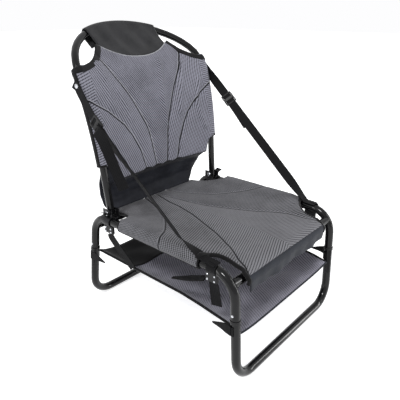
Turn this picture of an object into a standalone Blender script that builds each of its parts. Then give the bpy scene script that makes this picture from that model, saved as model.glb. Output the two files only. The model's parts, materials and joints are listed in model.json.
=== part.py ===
# Framed kayak seat: a tube frame on two floor hoops, a padded cushion, a storage sling
# and a backrest that folds forward on two bracket bolts. Metres, +Z up, the seat faces -Y.
import bpy
import bmesh
import math
from mathutils import Matrix, Vector

# Driving sizes of the tube frame
tube_r = 0.011
tube_wall = 0.0015
tube_sides = 16
flat_ratio = math.cos(math.pi / tube_sides)
seat_gap = 0.0003
rail_x = 0.214
rail_z = 0.277
front_bend_y = -0.2867
rear_bend_y = 0.1763
front_foot_y = -0.3007
rear_foot_y = 0.2183
rail_bend_r = 0.060
floor_bend_r = 0.057
leg_joint_z = 0.172
spigot_length = 0.030
floor_z = tube_r * flat_ratio

# Cross tubes sit a little below the rails, inside the bends
cross_drop = 0.025
cross_setback = 0.0095
collar_height = 0.006
collar_wall = 0.0008
leg_rivet_rise = 0.017
leg_rivet_r = 0.0032
leg_rivet_height = 0.0016

# Backrest hoop: lean of its side tubes in degrees against the length from the pivot
back_r = 0.0095
back_wall = 0.0014
pivot_y = 0.1223
pivot_z = 0.297
back_half_low = rail_x - tube_r
back_half_top = 0.219
lean_steps = [(0.0, 5.0), (0.12, 5.5), (0.26, 14.0), (0.32, 18.0), (0.40, 48.0), (0.52, 60.0)]
shoulder_start = 0.335
crown_rise = 0.167
side_lengths = [0.155, 0.190, 0.225, 0.260, 0.300, 0.335]
arch_steps = 11.5
first_arch = shoulder_start + crown_rise * math.sin(math.pi / 2 / arch_steps)

# Hinge bracket
bracket_wall = 0.0025
bracket_length = 0.034
bracket_tab_rise = 0.010
bolt_r = 0.003
bolt_head_r = 0.0062
bolt_head_height = 0.003
side_play = 0.0010
swing_r = 0.0122

# Front bracket and webbing
webbing_width = 0.025
webbing_thick = 0.0016
bracket_setback = 0.043
rear_bracket_shift = -0.002
bracket_drop = 0.036
bracket_depth = 0.034
bracket_thick = 0.009

# Cushion: padded cloth slung between the rails and over both cross tubes
pad_thick = 0.0105
pad_rear_y = 0.176
rail_rise = 0.0245
sleeve_wall = 0.0032
sleeve_front_y = -0.1947
sleeve_rear_y = 0.0663
front_roll_half = 0.178
band_bottom_z = 0.216
band_thick = 0.003

# Backrest cover
cover_thick = 0.003
cover_gap = 0.0010
cover_sag = 0.016
cover_hem_s = 0.081
sleeve_low_s = 0.123
sleeve_top_s = 0.366
panel_top_s = 0.386
hem_half = 0.172
neck_half = 0.133
band_half = 0.116
flap_thick = 0.004
flap_half = 0.172

# Storage sling
sling_half = 0.199
sling_z = 0.157
sling_depth = 0.040
sling_thick = 0.003
sling_front_y = -0.2817
sling_rear_y = 0.1943

# Straps
strap_rivet_s = 0.322
strap_foot_y = -0.2097
strap_end_length = 0.030
lock_share = 0.27
tail_length = 0.120
hang_length = 0.055
bracket_tail_length = 0.105


def clear_scene():
    for item in list(bpy.data.objects):
        bpy.data.objects.remove(item, do_unlink=True)


def material(name, colour, roughness, metallic):
    found = bpy.data.materials.get(name)
    if found:
        return found
    made = bpy.data.materials.new(name)
    made.use_nodes = True
    shader = made.node_tree.nodes["Principled BSDF"]
    shader.inputs["Base Color"].default_value = (*colour, 1.0)
    shader.inputs["Roughness"].default_value = roughness
    shader.inputs["Metallic"].default_value = metallic
    return made


finishes = {
    "tube": ((0.030, 0.031, 0.034), 0.28, 0.6),
    "steel": ((0.035, 0.036, 0.038), 0.35, 0.8),
    "bright": ((0.62, 0.63, 0.65), 0.25, 1.0),
    "plastic": ((0.012, 0.012, 0.014), 0.45, 0.0),
    "webbing": ((0.010, 0.010, 0.012), 0.75, 0.0),
    "mesh_cloth": ((0.16, 0.16, 0.18), 0.85, 0.0),
    "cushion_cloth": ((0.15, 0.155, 0.16), 0.85, 0.0),
    "band_cloth": ((0.065, 0.072, 0.092), 0.8, 0.0),
    "black_cloth": ((0.020, 0.021, 0.027), 0.8, 0.0),
}


def finish_object(mesh, name, finish):
    bmesh.ops.recalc_face_normals(mesh, faces=mesh.faces)
    data = bpy.data.meshes.new(name)
    mesh.to_mesh(data)
    mesh.free()
    item = bpy.data.objects.new(name, data)
    bpy.context.scene.collection.objects.link(item)
    data.materials.append(material(f"{name}_{finish}", *finishes[finish]))
    return item


def apply_modifiers(item):
    graph = bpy.context.evaluated_depsgraph_get()
    baked = bpy.data.meshes.new_from_object(item.evaluated_get(graph))
    item.modifiers.clear()
    old = item.data
    item.data = baked
    bpy.data.meshes.remove(old)


def combine(item, tool, operation):
    change = item.modifiers.new("shape", "BOOLEAN")
    change.operation = operation
    change.solver = "EXACT"
    change.object = tool
    bpy.context.view_layer.update()
    apply_modifiers(item)
    bpy.data.objects.remove(tool, do_unlink=True)
    return item


def rounded_route(corners, radii, steps):
    # Corner points joined by arcs of the given radii, ends kept as they are
    route = [Vector(corners[0])]
    for before, corner, after, radius in zip(corners, corners[1:], corners[2:], radii):
        corner = Vector(corner)
        back = (Vector(before) - corner).normalized()
        ahead = (Vector(after) - corner).normalized()
        half = back.angle(ahead) / 2
        reach = radius / math.tan(half)
        centre = corner + (back + ahead).normalized() * radius / math.sin(half)
        start = corner + back * reach - centre
        sweep = math.pi - 2 * half
        axis = start.cross(corner + ahead * reach - centre).normalized()
        for step in range(steps + 1):
            route.append(centre + Matrix.Rotation(sweep * step / steps, 3, axis) @ start)
    route.append(Vector(corners[-1]))
    return route


def ring_frames(route, key, flat):
    # A normal is carried along the route from ring `key`, where it points to `flat`
    count = len(route)
    tangents = []
    for index in range(count):
        before = route[max(index - 1, 0)]
        after = route[min(index + 1, count - 1)]
        arriving = (route[index] - before).normalized() if index else Vector()
        leaving = (after - route[index]).normalized() if index < count - 1 else Vector()
        tangents.append((arriving + leaving).normalized())
    normals = [None] * count
    start = Vector(flat)
    normals[key] = (start - tangents[key] * start.dot(tangents[key])).normalized()
    for order in (range(key + 1, count), range(key - 1, -1, -1)):
        last = key
        for index in order:
            turn = tangents[last].rotation_difference(tangents[index])
            normals[index] = turn @ normals[last]
            last = index
    return tangents, normals


def ring_points(centre, tangent, normal, radius, sides=tube_sides):
    side = tangent.cross(normal)
    points = []
    for index in range(sides):
        angle = 2 * math.pi * (index + 0.5) / sides
        points.append(centre + normal * radius * math.cos(angle) + side * radius * math.sin(angle))
    return points


def join_rings(mesh, first, second):
    count = len(first)
    for index in range(count):
        following = (index + 1) % count
        mesh.faces.new((first[index], first[following], second[following], second[index]))


def hollow_tube(name, route, radius, wall, finish, key=0, flat=(0, 0, 1), spigots=(False, False)):
    # Outer wall, then inner wall back again. A spigot is a thinner end of the same tube.
    tangents, normals = ring_frames(route, key, flat)
    outer = [(p, t, n, radius) for p, t, n in zip(route, tangents, normals)]
    inner = [(p, t, n, radius - wall) for p, t, n in zip(route, tangents, normals)]
    thin = (radius - wall) * flat_ratio - seat_gap
    for at_end in (False, True):
        if not spigots[at_end]:
            continue
        at = -1 if at_end else 0
        point, tangent, normal = route[at], tangents[at], normals[at]
        tip = point + tangent * spigot_length * (1 if at_end else -1)
        steps = [(point, tangent, normal, thin), (tip, tangent, normal, thin)]
        bores = [(point, tangent, normal, thin - wall), (tip, tangent, normal, thin - wall)]
        if at_end:
            outer = outer + steps
            inner = inner[:-1] + bores
        else:
            outer = steps[::-1] + outer
            inner = bores[::-1] + inner[1:]
    mesh = bmesh.new()
    rings = []
    for centre, tangent, normal, size in outer + inner[::-1]:
        rings.append([mesh.verts.new(p) for p in ring_points(centre, tangent, normal, size)])
    for first, second in zip(rings, rings[1:] + rings[:1]):
        join_rings(mesh, first, second)
    return finish_object(mesh, name, finish)


def solid_rod(name, route, radius, finish, key=0, flat=(0, 0, 1), sides=tube_sides):
    tangents, normals = ring_frames(route, key, flat)
    mesh = bmesh.new()
    rings = []
    for centre, tangent, normal in zip(route, tangents, normals):
        rings.append([mesh.verts.new(p) for p in ring_points(centre, tangent, normal, radius, sides)])
    for first, second in zip(rings, rings[1:]):
        join_rings(mesh, first, second)
    mesh.faces.new(rings[0])
    mesh.faces.new(rings[-1][::-1])
    return finish_object(mesh, name, finish)


def turned(name, start, direction, profile, finish, sides=16):
    # A turned piece: (distance along the axis, radius) pairs from its base to its tip
    axis = Vector(direction).normalized()
    normal = axis.orthogonal().normalized()
    if abs(axis.z) < 0.9:
        normal = Vector((0, 0, 1))
    mesh = bmesh.new()
    rings = []
    for along, radius in profile:
        centre = Vector(start) + axis * along
        rings.append([mesh.verts.new(p) for p in ring_points(centre, axis, normal, radius, sides)])
    for first, second in zip(rings, rings[1:]):
        join_rings(mesh, first, second)
    mesh.faces.new(rings[0])
    mesh.faces.new(rings[-1][::-1])
    return finish_object(mesh, name, finish)


def lofted(name, sections, finish, closed=False):
    # Sections are loops of equal length, joined in order and capped at both ends
    mesh = bmesh.new()
    rings = [[mesh.verts.new(p) for p in loop] for loop in sections]
    for first, second in zip(rings, rings[1:]):
        join_rings(mesh, first, second)
    if closed:
        join_rings(mesh, rings[-1], rings[0])
    else:
        mesh.faces.new(rings[0])
        mesh.faces.new(rings[-1][::-1])
    return finish_object(mesh, name, finish)


def strip_loop(path, thick):
    # Closed loop around an open line of (point, outward normal) pairs
    front = [point + normal * thick / 2 for point, normal in path]
    rear = [point - normal * thick / 2 for point, normal in path]
    return front + rear[::-1]


def slab(name, low, high, finish, bevel=0.0):
    mesh = bmesh.new()
    made = bmesh.ops.create_cube(mesh, size=1.0)
    size = [b - a for a, b in zip(low, high)]
    middle = [(a + b) / 2 for a, b in zip(low, high)]
    bmesh.ops.scale(mesh, vec=size, verts=made["verts"])
    bmesh.ops.translate(mesh, vec=middle, verts=made["verts"])
    if bevel:
        bmesh.ops.bevel(mesh, geom=mesh.edges[:], offset=bevel, segments=1, affect="EDGES")
    return finish_object(mesh, name, finish)


def leg_point(foot_y, bend_y, height):
    share = (height - floor_z) / (rail_z - floor_z)
    return foot_y + (bend_y - foot_y) * share


def rail_corners(side):
    x = side * rail_x
    front_y = leg_point(front_foot_y, front_bend_y, leg_joint_z)
    rear_y = leg_point(rear_foot_y, rear_bend_y, leg_joint_z)
    return [(x, front_y, leg_joint_z), (x, front_bend_y, rail_z),
            (x, rear_bend_y, rail_z), (x, rear_y, leg_joint_z)]


def rail_route(side, steps=7):
    return rounded_route(rail_corners(side), [rail_bend_r] * 2, steps)


def side_rails():
    for side, label in ((-1, "left"), (1, "right")):
        hollow_tube(f"side_rail_{label}", rail_route(side), tube_r, tube_wall, "tube",
                    flat=(1, 0, 0))


def leg_hoop(name, foot_y, bend_y):
    top_y = leg_point(foot_y, bend_y, leg_joint_z - seat_gap)
    top_z = leg_joint_z - seat_gap
    corners = [(-rail_x, top_y, top_z), (-rail_x, foot_y, floor_z),
               (rail_x, foot_y, floor_z), (rail_x, top_y, top_z)]
    route = rounded_route(corners, [floor_bend_r] * 2, 7)
    middle = len(route) // 2
    hollow_tube(name, route, tube_r, tube_wall, "tube", key=middle, flat=(0, 0, 1),
                spigots=(True, True))


def leg_fittings():
    legs = {"front": (front_foot_y, front_bend_y), "rear": (rear_foot_y, rear_bend_y)}
    for end, (foot_y, bend_y) in legs.items():
        lean = Vector((0, bend_y - foot_y, rail_z - floor_z)).normalized()
        for side, label in ((-1, "left"), (1, "right")):
            low = leg_joint_z - collar_height
            start = Vector((side * rail_x, leg_point(foot_y, bend_y, low), low))
            collar(f"leg_collar_{end}_{label}", start, lean)
            height = leg_joint_z + leg_rivet_rise
            flat_x = tube_r * flat_ratio + seat_gap
            base = (side * (rail_x + flat_x), leg_point(foot_y, bend_y, height), height)
            dome = [(0, leg_rivet_r), (leg_rivet_height * 0.5, leg_rivet_r * 0.9),
                    (leg_rivet_height, leg_rivet_r * 0.45)]
            turned(f"leg_rivet_{end}_{label}", base, (side, 0, 0), dome, "bright", sides=12)


def collar(name, start, lean):
    # Thin plastic ring over the joint of a leg. Its bore clears the tube's corners.
    bore = tube_r + seat_gap
    outer = bore / flat_ratio + collar_wall
    height = 2 * collar_height
    rings = []
    for along, radius in ((0, outer), (height, outer), (height, bore / flat_ratio), (0, bore / flat_ratio)):
        rings.append(ring_points(start + lean * along, lean, Vector((1, 0, 0)), radius))
    lofted(name, rings, "plastic", closed=True)


def cross_tube(name, bend_y, inward):
    y = bend_y + inward * cross_setback
    z = rail_z - cross_drop
    route = [Vector((-rail_x, y, z)), Vector((rail_x, y, z))]
    item = hollow_tube(name, route, tube_r, tube_wall, "tube", flat=(0, 0, 1))
    for side in (-1, 1):
        tool = solid_rod("cope_tool", rail_route(side), tube_r + seat_gap, "tube", flat=(1, 0, 0))
        combine(item, tool, "DIFFERENCE")
        beyond = side * (rail_x + 0.02)
        edge = side * (rail_x - 0.001)
        low = (min(beyond, edge), y - 0.03, z - 0.03)
        high = (max(beyond, edge), y + 0.03, z + 0.03)
        combine(item, slab("trim_tool", low, high, "tube"), "DIFFERENCE")
    return item


def back_profile():
    # Hoop profile seen from the side, as (length, y, z) every 5 mm
    step = 0.005
    length = 0.0
    y = pivot_y
    z = pivot_z
    rows = [(length, y, z)]
    while length < 0.54:
        lean = math.radians(lean_at(length + step / 2))
        y += step * math.sin(lean)
        z += step * math.cos(lean)
        length += step
        rows.append((length, y, z))
    return rows


def lean_at(length):
    for (start, low), (end, high) in zip(lean_steps, lean_steps[1:]):
        if length <= end:
            share = (length - start) / (end - start)
            return low + (high - low) * share
    return lean_steps[-1][1]


profile_rows = back_profile()


def back_point(x, length, forward=0.0):
    # A point on the backrest surface, moved forward along the surface's normal
    step = profile_rows[1][0]
    index = max(0, min(int(length / step), len(profile_rows) - 2))
    share = length / step - index
    low, high = profile_rows[index], profile_rows[index + 1]
    y = low[1] + (high[1] - low[1]) * share
    z = low[2] + (high[2] - low[2]) * share
    lean = math.radians(lean_at(max(length, 0)))
    return Vector((x, y - forward * math.cos(lean), z + forward * math.sin(lean)))


def back_half(length):
    share = min(max(length / shoulder_start, 0), 1)
    return back_half_low + (back_half_top - back_half_low) * share


def arch_length(x):
    return shoulder_start + crown_rise * math.sqrt(max(1 - (x / back_half_top) ** 2, 0))


def arch_stretch(x):
    # How much longer the tube's section is along the surface where the arch slopes
    slope = crown_rise * x / back_half_top ** 2 / math.sqrt(1 - (x / back_half_top) ** 2)
    return math.sqrt(1 + slope * slope)


def hoop_route(start_length):
    side = []
    for length in [start_length, 0.06, 0.12] + side_lengths[:-1]:
        side.append((back_half(length), length))
    for step in range(12):
        angle = math.pi / 2 * step / arch_steps
        side.append((back_half_top * math.cos(angle), shoulder_start + crown_rise * math.sin(angle)))
    left = [back_point(-x, length) for x, length in side]
    right = [back_point(x, length) for x, length in side]
    return left + [back_point(0, shoulder_start + crown_rise)] + right[::-1]


def backrest_hoop():
    route = hoop_route(-0.004)
    item = hollow_tube("backrest_hoop", route, back_r, back_wall, "tube", flat=(1, 0, 0))
    for side in (-1, 1):
        x = side * back_half(0)
        start = Vector((x - 0.02, pivot_y, pivot_z))
        end = Vector((x + 0.02, pivot_y, pivot_z))
        combine(item, solid_rod("bolt_hole", [start, end], bolt_r + seat_gap, "tube"), "DIFFERENCE")
    return item


def hinge_bracket(side, label):
    # Folded plate: two tabs beside the hoop tube on a saddle that hugs the rail
    bore = tube_r + seat_gap
    half = back_r + side_play
    middle = back_half(0)
    inner_x = middle - half - bracket_wall
    outer_x = middle + half
    shelf_low = rail_z + 0.006
    y_low = pivot_y - bracket_length / 2
    y_high = pivot_y + bracket_length / 2
    tab_top = pivot_z + bracket_tab_rise

    def box(name, x_low, x_high, z_low, z_high):
        xs = sorted((side * x_low, side * x_high))
        return slab(name, (xs[0], y_low, z_low), (xs[1], y_high, z_high), "steel")

    outer_r = bore / flat_ratio + bracket_wall
    route = [Vector((side * rail_x, y_low, rail_z)), Vector((side * rail_x, y_high, rail_z))]
    item = solid_rod(f"hinge_bracket_{label}", route, outer_r, "steel", flat=(1, 0, 0))
    for name, a, b, low, high in (
            ("inner_tab", inner_x, inner_x + bracket_wall, shelf_low, tab_top),
            ("shelf", inner_x, rail_x - 0.004, shelf_low, shelf_low + bracket_wall),
            ("outer_tab", outer_x, outer_x + bracket_wall, rail_z + 0.009, tab_top)):
        combine(item, box(name, a, b, low, high), "UNION")
    bore_tool = solid_rod("bore_tool", rail_route(side), bore / flat_ratio, "steel", flat=(1, 0, 0))
    combine(item, bore_tool, "DIFFERENCE")
    swing = [Vector((side * x, pivot_y, pivot_z)) for x in (inner_x + bracket_wall, outer_x)]
    combine(item, solid_rod("swing_tool", swing, swing_r, "steel", sides=24), "DIFFERENCE")
    xs = sorted((side * (inner_x - 0.01), side * (outer_x + bracket_wall + 0.01)))
    hole = [Vector((xs[0], pivot_y, pivot_z)), Vector((xs[1], pivot_y, pivot_z))]
    combine(item, solid_rod("hole_tool", hole, bolt_r + seat_gap, "steel"), "DIFFERENCE")
    return item


def hinge_bolt(side, label):
    half = back_r + side_play + bracket_wall + seat_gap
    middle = side * back_half(0)
    reach = half + bolt_head_height
    steps = [(0, bolt_head_r * 0.8), (bolt_head_height * 0.4, bolt_head_r), (bolt_head_height, bolt_head_r),
             (bolt_head_height, bolt_r), (2 * reach - bolt_head_height, bolt_r),
             (2 * reach - bolt_head_height, bolt_head_r), (2 * reach - bolt_head_height * 0.4, bolt_head_r),
             (2 * reach, bolt_head_r * 0.8)]
    turned(f"hinge_bolt_{label}", (middle - reach, pivot_y, pivot_z), (1, 0, 0), steps, "bright")


def rail_bracket(end, side, label):
    # Plastic plate hanging under the rail, with a domed screw head near each corner
    x = side * rail_x
    clear = (tube_r + seat_gap) / flat_ratio
    if end == "front":
        y_low = front_bend_y + bracket_setback
    else:
        y_low = pivot_y - bracket_depth / 2 + rear_bracket_shift
        clear = clear + bracket_wall + seat_gap
    y_high = y_low + bracket_depth
    low = (x - bracket_thick / 2, y_low, rail_z - bracket_drop)
    high = (x + bracket_thick / 2, y_high, rail_z)
    item = slab(f"rail_bracket_{end}_{label}", low, high, "plastic", bevel=0.0025)
    if end == "front":
        tool = solid_rod("saddle_tool", rail_route(side), clear, "plastic", flat=(1, 0, 0))
    else:
        line = [Vector((x, y_low - 0.02, rail_z)), Vector((x, y_high + 0.02, rail_z))]
        tool = solid_rod("saddle_tool", line, clear / flat_ratio, "plastic", flat=(1, 0, 0))
    combine(item, tool, "DIFFERENCE")
    keep_x = x + side * bracket_thick / 2
    upper = rail_z - clear - 0.006
    lower = rail_z - bracket_drop + 0.006
    for y in (y_low + 0.007, y_high - 0.007):
        for z in (upper, lower):
            start = (keep_x - side * 0.001, y, z)
            head = [(0, 0.0028), (0.0022, 0.0026), (0.003, 0.0014)]
            combine(item, turned("screw_head", start, (side, 0, 0), head, "plastic", 10), "UNION")
    return item


def cushion():
    # One padded form lofted from back to front: it sags between the rails, swells round each
    # rail where the cloth is sleeved, and turns down over the front tube
    clear = (tube_r + seat_gap) / flat_ratio
    cross_z = rail_z - cross_drop
    front_y = front_bend_y + cross_setback
    middle = clear + pad_thick / 2
    rows = [(pad_rear_y, 0.156, 0.0, False), (pad_rear_y - 0.006, 0.160, 0.001, False),
            (0.148, 0.162, 0.003, False), (0.115, 0.166, 0.009, False), (0.086, 0.178, 0.016, False),
            (sleeve_rear_y + 0.002, 0.196, 0.021, False), (sleeve_rear_y, 0.200, 0.023, True),
            (sleeve_rear_y - 0.025, 0.200, rail_rise, True), (-0.165, 0.200, rail_rise, True),
            (sleeve_front_y, 0.200, 0.020, True), (sleeve_front_y - 0.002, 0.199, 0.018, False),
            (-0.2207, 0.189, 0.012, False), (-0.2447, 0.182, 0.005, False)]
    loops = []
    for y, half, rise, sleeved in rows:
        base = Vector((0, y, cross_z + middle))
        loops.append(pad_section(base, Vector((0, 0, 1)), half, rise, sleeved))
    for angle in (90, 110, 130, 148):
        turn = math.radians(angle)
        normal = Vector((0, math.cos(turn), math.sin(turn)))
        base = Vector((0, front_y, cross_z)) + normal * middle
        loops.append(pad_section(base, normal, front_roll_half, 0.0, False))
    item = lofted("seat_cushion", loops, "cushion_cloth")
    for side in (-1, 1):
        tool = solid_rod("rail_tool", rail_route(side), clear, "cushion_cloth", flat=(1, 0, 0))
        combine(item, tool, "DIFFERENCE")
    route = [Vector((-0.25, front_y, cross_z)), Vector((0.25, front_y, cross_z))]
    combine(item, solid_rod("roll_tool", route, clear, "cushion_cloth"), "DIFFERENCE")
    return item


def pad_section(base, normal, half, rise, sleeved):
    # Outline across the seat: points of its right half, from the top middle to the bottom middle
    shares = (0, 0.35, 0.6, 0.8, 0.93)
    right = [(share * half, pad_thick / 2 + rise * share ** 2) for share in shares]
    if sleeved:
        outer = (tube_r + seat_gap) / flat_ratio + sleeve_wall
        lift = base.z + pad_thick / 2 + rise - rail_z - outer
        for angle in (90, 55, 20, -15, -50, -85, -125):
            turn = math.radians(angle)
            height = rail_z - base.z + outer * math.sin(turn) + lift * max(math.sin(turn), 0) ** 2
            right.append((rail_x + outer * math.cos(turn), height))
    else:
        radius = pad_thick / 2
        for angle in (80, 55, 30, 0, -30, -55, -80):
            turn = math.radians(angle)
            right.append((half - radius + radius * math.cos(turn), rise + radius * math.sin(turn)))
    right += [(share * half, rise * share ** 2 - pad_thick / 2) for share in shares[::-1]]
    points = right[:1] + right[1:-1] + right[-1:]
    left = [(-x, height) for x, height in right[1:-1]][::-1]
    return [base + Vector((x, 0, 0)) + normal * height for x, height in points + left]


def cushion_front_band():
    # Cloth band sewn to the front edge of the pad and hanging below it
    centre_y = front_bend_y + cross_setback
    centre_z = rail_z - cross_drop
    middle = (tube_r + seat_gap) / flat_ratio + pad_thick - band_thick / 2
    path = []
    for angle in (149, 160, 172, 184, 196):
        turn = math.radians(angle)
        normal = Vector((0, math.cos(turn), math.sin(turn)))
        path.append((Vector((0, centre_y, centre_z)) + normal * middle, normal))
    last, normal = path[-1]
    path.append((Vector((0, last.y + 0.004, band_bottom_z)), Vector((0, -1, 0))))
    loops = []
    for x in (-front_roll_half, -front_roll_half * 0.4, front_roll_half * 0.4, front_roll_half):
        loops.append([point + Vector((x, 0, 0)) for point in strip_loop(path, band_thick)])
    lofted("cushion_front_band", loops, "band_cloth")


def panel_forward(x, half):
    # Cloth passes in front of the tubes and sags back between them
    lead = back_r + cover_gap + cover_thick / 2
    return lead - (lead * 0.4 + cover_sag) * max(1 - (x / half) ** 2, 0)


def backrest_cover():
    # One sheet of cloth: the panel, and on each side a hook that wraps the hoop's side tube
    middle = back_r + cover_gap + cover_thick / 2
    sleeves = [sleeve_low_s] + side_lengths + [first_arch, sleeve_top_s]
    stations = [(cover_hem_s, hem_half), (0.100, 0.186)]
    stations += [(length, tube_half(length)) for length in sleeves]
    stations += [(sleeve_top_s + 0.004, 0.178), (0.377, 0.150), (panel_top_s, neck_half)]
    mesh = bmesh.new()
    last_row = None
    last_hooks = None
    for length, half in stations:
        row = []
        for step in range(-6, 7):
            x = half * step / 6
            row.append(mesh.verts.new(back_point(x, length, panel_forward(x, tube_half(length)))))
        hooks = None
        if length in sleeves:
            hooks = [hook_row(mesh, row[0], -1, length, middle), hook_row(mesh, row[-1], 1, length, middle)]
        if last_row:
            bridge(mesh, last_row, row)
        if last_hooks and hooks:
            for before, after in zip(last_hooks, hooks):
                bridge(mesh, before, after)
        last_row, last_hooks = row, hooks
    item = finish_object(mesh, "backrest_cover", "mesh_cloth")
    thickness = item.modifiers.new("cloth", "SOLIDIFY")
    thickness.thickness = cover_thick
    thickness.offset = 0
    thickness.use_even_offset = True
    return item


def bridge(mesh, first, second):
    for a, b, c, d in zip(first, first[1:], second[1:], second):
        mesh.faces.new((a, b, c, d))


def hook_row(mesh, edge, side, length, radius):
    # Front of the tube, round its outside and back inside behind it
    row = [edge]
    x = tube_half(length)
    for angle in (60, 30, 0, -30, -60, -90):
        row.append(mesh.verts.new(hook_point(side, x, length, radius, angle)))
    row.append(mesh.verts.new(hook_point(side, x - 0.022, length, radius, -90)))
    return row


def tube_half(length):
    # Half width of the hoop at a given length, on the side tube or on the arch
    if length <= shoulder_start:
        return back_half(length)
    rise = min((length - shoulder_start) / crown_rise, 1)
    return back_half_top * math.sqrt(max(1 - rise * rise, 0))


def surface_normal(length):
    lean = math.radians(lean_at(length))
    return Vector((0, -math.cos(lean), math.sin(lean)))


def hook_point(side, x, length, radius, angle):
    turn = math.radians(angle)
    out = Vector((side * math.cos(turn), 0, 0)) + surface_normal(length) * math.sin(turn)
    return back_point(side * x, length) + out * radius


def head_band():
    # Cloth band folded over the top of the hoop: front face, fold and rear face
    wrap = back_r + cover_gap + cover_thick / 2
    loops = []
    for step in range(-6, 7):
        x = band_half * step / 6
        top = arch_length(x)
        path = []
        low = panel_top_s + seat_gap + 0.0012
        for share in (0, 0.35, 0.7, 1):
            length = low + (top - low) * share
            forward = panel_forward(x, max(tube_half(length), band_half + 0.02))
            forward += (wrap - forward) * share ** 2
            path.append((back_point(x, length, forward), surface_normal(length)))
        for angle in (60, 30, 0, -30, -60, -90):
            turn = math.radians(angle)
            lean = math.radians(lean_at(top))
            up = Vector((0, math.sin(lean), math.cos(lean)))
            out = surface_normal(top) * math.sin(turn) + up * math.cos(turn)
            reach = surface_normal(top) * math.sin(turn) + up * math.cos(turn) * arch_stretch(x)
            path.append((back_point(x, top) + reach * wrap, out))
        length = top - 0.040
        path.append((back_point(x, length, -wrap), -surface_normal(length)))
        loops.append(strip_loop(path, cover_thick))
    return lofted("head_band", loops, "black_cloth")


def lumbar_flap():
    # Cloth from the cover's hem, bulging behind the seat and down onto the rear of the pad
    hem = back_point(0, cover_hem_s, panel_forward(0, back_half_low))
    low_z = rail_z - cross_drop + (tube_r + seat_gap) / flat_ratio + pad_thick + 0.0027
    start_z = hem.z - 0.003 - seat_gap
    shape = [(0.0, 0.0, flap_half), (0.024, 0.20, flap_half), (0.036, 0.44, flap_half - 0.002),
             (0.038, 0.66, flap_half - 0.010), (0.031, 0.86, flap_half - 0.026), (0.022, 1.0, flap_half - 0.040)]
    path = [Vector((0, hem.y + back, start_z + (low_z - start_z) * drop)) for back, drop, half in shape]
    normals = []
    for index in range(len(path)):
        ahead = path[min(index + 1, len(path) - 1)] - path[max(index - 1, 0)]
        normals.append(Vector((0, ahead.z, -ahead.y)).normalized())
    loops = []
    for share in (-1, -0.5, 0, 0.5, 1):
        shift = panel_forward(share * flap_half, back_half_low) - panel_forward(0, back_half_low)
        rows = []
        for index, (point, normal) in enumerate(zip(path, normals)):
            fade = 1 - index / (len(path) - 1)
            rows.append((point + Vector((share * shape[index][2], -shift * fade, 0)), normal))
        loops.append(strip_loop(rows, flap_thick))
    return lofted("lumbar_flap", loops, "black_cloth")


def storage_sling():
    # Cloth tray hung between the legs: flat floor, steep sides, sagging front and rear rims
    loops = []
    rows = 7
    for step in range(rows):
        y = sling_front_y + (sling_rear_y - sling_front_y) * step / (rows - 1)
        front = [Vector((x, y, z)) for x, z in sling_line(sling_thick / 2)]
        rear = [Vector((x, y, z)) for x, z in sling_line(-sling_thick / 2)]
        loops.append(front + rear[::-1])
    return lofted("storage_sling", loops, "mesh_cloth")


def sling_line(offset):
    points = []
    for share in (-1, -0.96, -0.9, -0.8, -0.55, 0, 0.55, 0.8, 0.9, 0.96, 1):
        drop = sling_depth * (1 - abs(share) ** 6)
        slope = 6 * sling_depth * abs(share) ** 5 / sling_half
        tilt = math.atan(slope)
        sign = 1 if share > 0 else -1
        x = share * sling_half - sign * math.sin(tilt) * offset * (1 if share else 0)
        points.append((x, sling_z - drop + math.cos(tilt) * offset))
    return points


def sling_strap(end, side, label):
    # Webbing loop round a leg, tied to the corner of the sling
    foot_y, bend_y = (front_foot_y, front_bend_y) if end == "front" else (rear_foot_y, rear_bend_y)
    height = sling_z - 0.007
    y = leg_point(foot_y, bend_y, height)
    x = side * rail_x
    inner = tube_r / flat_ratio + seat_gap
    middle = inner + webbing_thick / 2
    lean = Vector((0, bend_y - foot_y, rail_z - floor_z)).normalized()
    depth = Vector((0, lean.z, -lean.y))
    half = 0.011
    loops = []
    for turn in range(20):
        angle = 2 * math.pi * turn / 20
        out = Vector((math.cos(angle), 0, 0)) + depth * math.sin(angle)
        centre = Vector((x, y, height)) + out * middle
        loops.append([centre - lean * half - out * webbing_thick / 2, centre + lean * half - out * webbing_thick / 2,
                      centre + lean * half + out * webbing_thick / 2, centre - lean * half + out * webbing_thick / 2])
    return lofted(f"sling_strap_{end}_{label}", loops, "webbing", closed=True)


def ribbon(name, points, widths, thick, finish):
    # Flat webbing along a list of points. widths holds the half-width vector of each point.
    loops = []
    for index, (point, across) in enumerate(zip(points, widths)):
        ahead = points[min(index + 1, len(points) - 1)] - points[max(index - 1, 0)]
        face = ahead.cross(across).normalized() * thick / 2
        loops.append([point - across - face, point + across - face, point + across + face, point - across + face])
    item = lofted(name, loops, finish)
    split_twisted(item)
    return item


def split_twisted(item):
    # Twisted four-sided faces get a fixed diagonal, so that every reader sees the same surface
    mesh = bmesh.new()
    mesh.from_mesh(item.data)
    bmesh.ops.triangulate(mesh, faces=[face for face in mesh.faces if len(face.verts) == 4])
    mesh.to_mesh(item.data)
    mesh.free()


def strap_line(side):
    side_x = back_half(strap_rivet_s) + back_r + cover_gap + cover_thick + 0.0008 + webbing_thick / 2
    start = back_point(side * side_x, strap_rivet_s)
    foot = Vector((side * rail_x, strap_foot_y, rail_z + tube_r + 2 * seat_gap + webbing_thick / 2))
    return start, foot


def strap_across(side, along):
    # The webbing is turned half way between lying flat and standing on edge
    flat = Vector((-side * 0.62, 0.505, -0.554))
    flat -= along * flat.dot(along)
    return flat.normalized() * webbing_width / 2


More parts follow.
